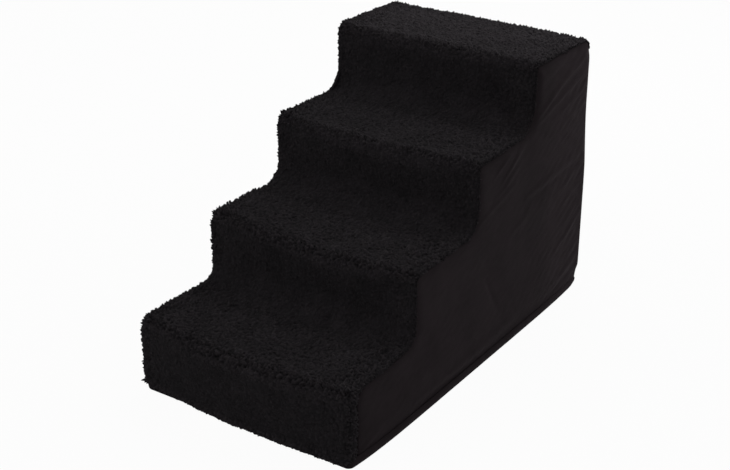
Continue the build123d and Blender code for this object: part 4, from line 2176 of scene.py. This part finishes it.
RIGHT_FOLDS = (
    Fold(
        ((0.175, 0.378), (0.220, 0.397), (0.265, 0.420), (0.300, 0.4325), (0.366, 0.448)),
        0.0026,
        0.0062,
    ),
    Fold(((0.185, 0.372), (0.250, 0.392), (0.310, 0.408), (0.368, 0.421)), 0.0024, 0.0056),
    Fold(((0.250, 0.365), (0.310, 0.380), (0.366, 0.392)), 0.0016, 0.0056),
    Fold(((0.280, 0.344), (0.330, 0.356), (0.368, 0.362)), 0.0010, 0.0050),
    Fold(((0.210, 0.435), (0.280, 0.452), (0.350, 0.468)), -0.0013, 0.0080),
    Fold(((0.045, 0.322), (0.070, 0.336), (0.100, 0.349)), 0.0014, 0.0036),
    Fold(((0.075, 0.309), (0.115, 0.331), (0.155, 0.356)), 0.0014, 0.0036),
    Fold(((0.098, 0.322), (0.120, 0.338), (0.140, 0.356)), 0.0010, 0.0030),
    Fold(((0.050, 0.285), (0.090, 0.300), (0.135, 0.322)), 0.0011, 0.0042),
    Fold(((0.005, 0.259), (0.060, 0.2765), (0.120, 0.292)), 0.0014, 0.0050),
    Fold(((0.160, 0.251), (0.260, 0.261), (0.330, 0.266), (0.372, 0.271)), 0.0020, 0.0080),
    Fold(((0.170, 0.238), (0.260, 0.2475), (0.365, 0.256)), -0.0010, 0.0070),
    Fold(((0.280, 0.216), (0.335, 0.237), (0.372, 0.248)), 0.0013, 0.0056),
    Fold(((0.100, 0.200), (0.150, 0.211), (0.180, 0.224)), 0.0011, 0.0056),
    Fold(((0.285, 0.180), (0.330, 0.200), (0.370, 0.211)), 0.0011, 0.0050),
    Fold(((0.300, 0.140), (0.345, 0.163), (0.371, 0.173)), 0.0011, 0.0044),
    Fold(((0.280, 0.104), (0.330, 0.128), (0.372, 0.151)), 0.0020, 0.0056),
    Fold(((0.325, 0.075), (0.372, 0.094)), 0.0014, 0.0056),
    Fold(((0.275, 0.042), (0.330, 0.051), (0.374, 0.064)), 0.0020, 0.0062),
    Fold(((0.250, 0.022), (0.290, 0.026), (0.340, 0.037), (0.374, 0.046)), -0.0016, 0.0050),
    Fold(((-0.190, 0.032), (-0.070, 0.031), (0.060, 0.033), (0.120, 0.038)), 0.0021, 0.0080),
    Fold(((-0.070, 0.052), (0.045, 0.049), (0.120, 0.056)), -0.0009, 0.0090),
    Fold(((0.030, 0.150), (0.052, 0.112), (0.072, 0.078)), -0.0010, 0.0060),
    Fold(((0.040, 0.168), (0.100, 0.143), (0.170, 0.121)), 0.0009, 0.0090),
    Fold(((-0.330, 0.022), (-0.285, 0.033)), 0.0010, 0.0060),
)
LEFT_FOLDS = (
    Fold(((0.190, 0.384), (0.260, 0.408), (0.320, 0.428), (0.366, 0.440)), 0.0022, 0.0060),
    Fold(((0.200, 0.372), (0.280, 0.390), (0.366, 0.410)), 0.0016, 0.0056),
    Fold(((0.060, 0.300), (0.110, 0.326), (0.150, 0.350)), 0.0012, 0.0044),
    Fold(((0.020, 0.255), (0.100, 0.282), (0.180, 0.300)), 0.0013, 0.0060),
    Fold(((0.200, 0.240), (0.290, 0.262), (0.370, 0.274)), 0.0018, 0.0076),
    Fold(((0.270, 0.120), (0.330, 0.150), (0.372, 0.166)), 0.0017, 0.0060),
    Fold(((0.290, 0.050), (0.340, 0.062), (0.373, 0.076)), 0.0017, 0.0060),
    Fold(((-0.150, 0.140), (-0.090, 0.160), (-0.040, 0.172)), 0.0010, 0.0060),
    Fold(((-0.240, 0.028), (-0.100, 0.025), (0.080, 0.030)), 0.0013, 0.0070),
    Fold(((0.060, 0.190), (0.130, 0.160), (0.190, 0.140)), 0.0009, 0.0090),
)


def dress_frame(finishes: dict[str, bpy.types.Material]) -> None:
    """Give the CAD nodes that stay their materials.

    Args:
        finishes: materials by the record's slot.
    """
    slots = {row["node"]: row["material_slot"] for row in frame["record"]["subparts"]}
    for name, node in frame["nodes"].items():
        if not node.hide_render:
            node.data.materials.clear()
            node.data.materials.append(finishes[slots[name]])
            LOG.info("dressed %s", name)


def sew_stitches(form: StairForm, edges: Sequence[float]) -> bpy.types.Object:
    """Sew the rows of stitches above and below the zip.

    Args:
        form: the places of the steps.
        edges: heights of the upper and the lower back panel's edge at the zip.

    Returns:
        The rows as one piece, not yet dressed.
    """
    inset, stand = 0.004, 0.0021
    rows = []
    for edge, way in zip(edges, (1, -1)):
        for step in STITCH_ROWS:
            start = (-form.half_width + inset, form.back + stand, edge + way * step)
            rows.append(StitchRow(start, 2 * form.half_width - 2 * inset).make())
    return Bench.join(rows, "zip_stitches")


def main() -> None:
    """Build the stairs' looks and the studio, and report each piece."""
    logging.basicConfig(level=logging.INFO, format="%(message)s")
    form = StairForm.from_frame()
    suede = SuedeFinish().make()
    thread = ThreadFinish().make()
    finishes = {
        "sherpa": PileFinish().make(),
        "suede": suede,
        "foam": FoamFinish().make(),
        "grip_cloth": GripClothFinish().make(),
        "grip_dots": RubberDotFinish().make(),
        "zip_tape": TapeFinish().make(),
        "zip_coil": CoilFinish().make(),
        "zip_metal": EnamelFinish().make(),
    }
    Studio().make()
    runner = SherpaRunner(form)
    rear = RearSeam(form.back + 0.002)
    made = [runner.make(finishes["sherpa"]), *FoamStack(runner).make(finishes["foam"])]
    for side, folds in ((Side.RIGHT, RIGHT_FOLDS), (Side.LEFT, LEFT_FOLDS)):
        made.append(SidePanel(runner, rear, side, folds, seed=5 + side.value).make(suede))
    lower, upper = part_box("back_panel_lower"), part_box("back_panel_upper")
    spans = (
        ("upper", upper[0].z, upper[1].z - UPPER_TRIM, upper[0].z),
        ("lower", lower[0].z + RIM_GAP, lower[1].z, lower[1].z),
    )
    for part, low, high, edge in spans:
        names = f"back_suede_{part}", f"back_panel_{part}"
        made.append(BackPanel(form, rear, *names, low, high, edge).make(suede))
    made.append(BaseCloth(form).make(suede, finishes["grip_cloth"]))
    made.append(GripDots().make(finishes["grip_dots"]))
    zipper = ZipFastener(form)
    for row, way in zipper.coil_parts:
        made.append(zipper.tape(row, finishes["zip_tape"]))
        made.append(zipper.coil(row, way, finishes["zip_coil"]))
    made.append(Bench.dress(sew_stitches(form, (upper[0].z, lower[1].z)), thread, "suede", None))
    dress_frame(finishes)
    for piece in made:
        LOG.info("%s: %d faces", piece.name, len(piece.data.polygons))


if __name__ == "__main__":
    main()
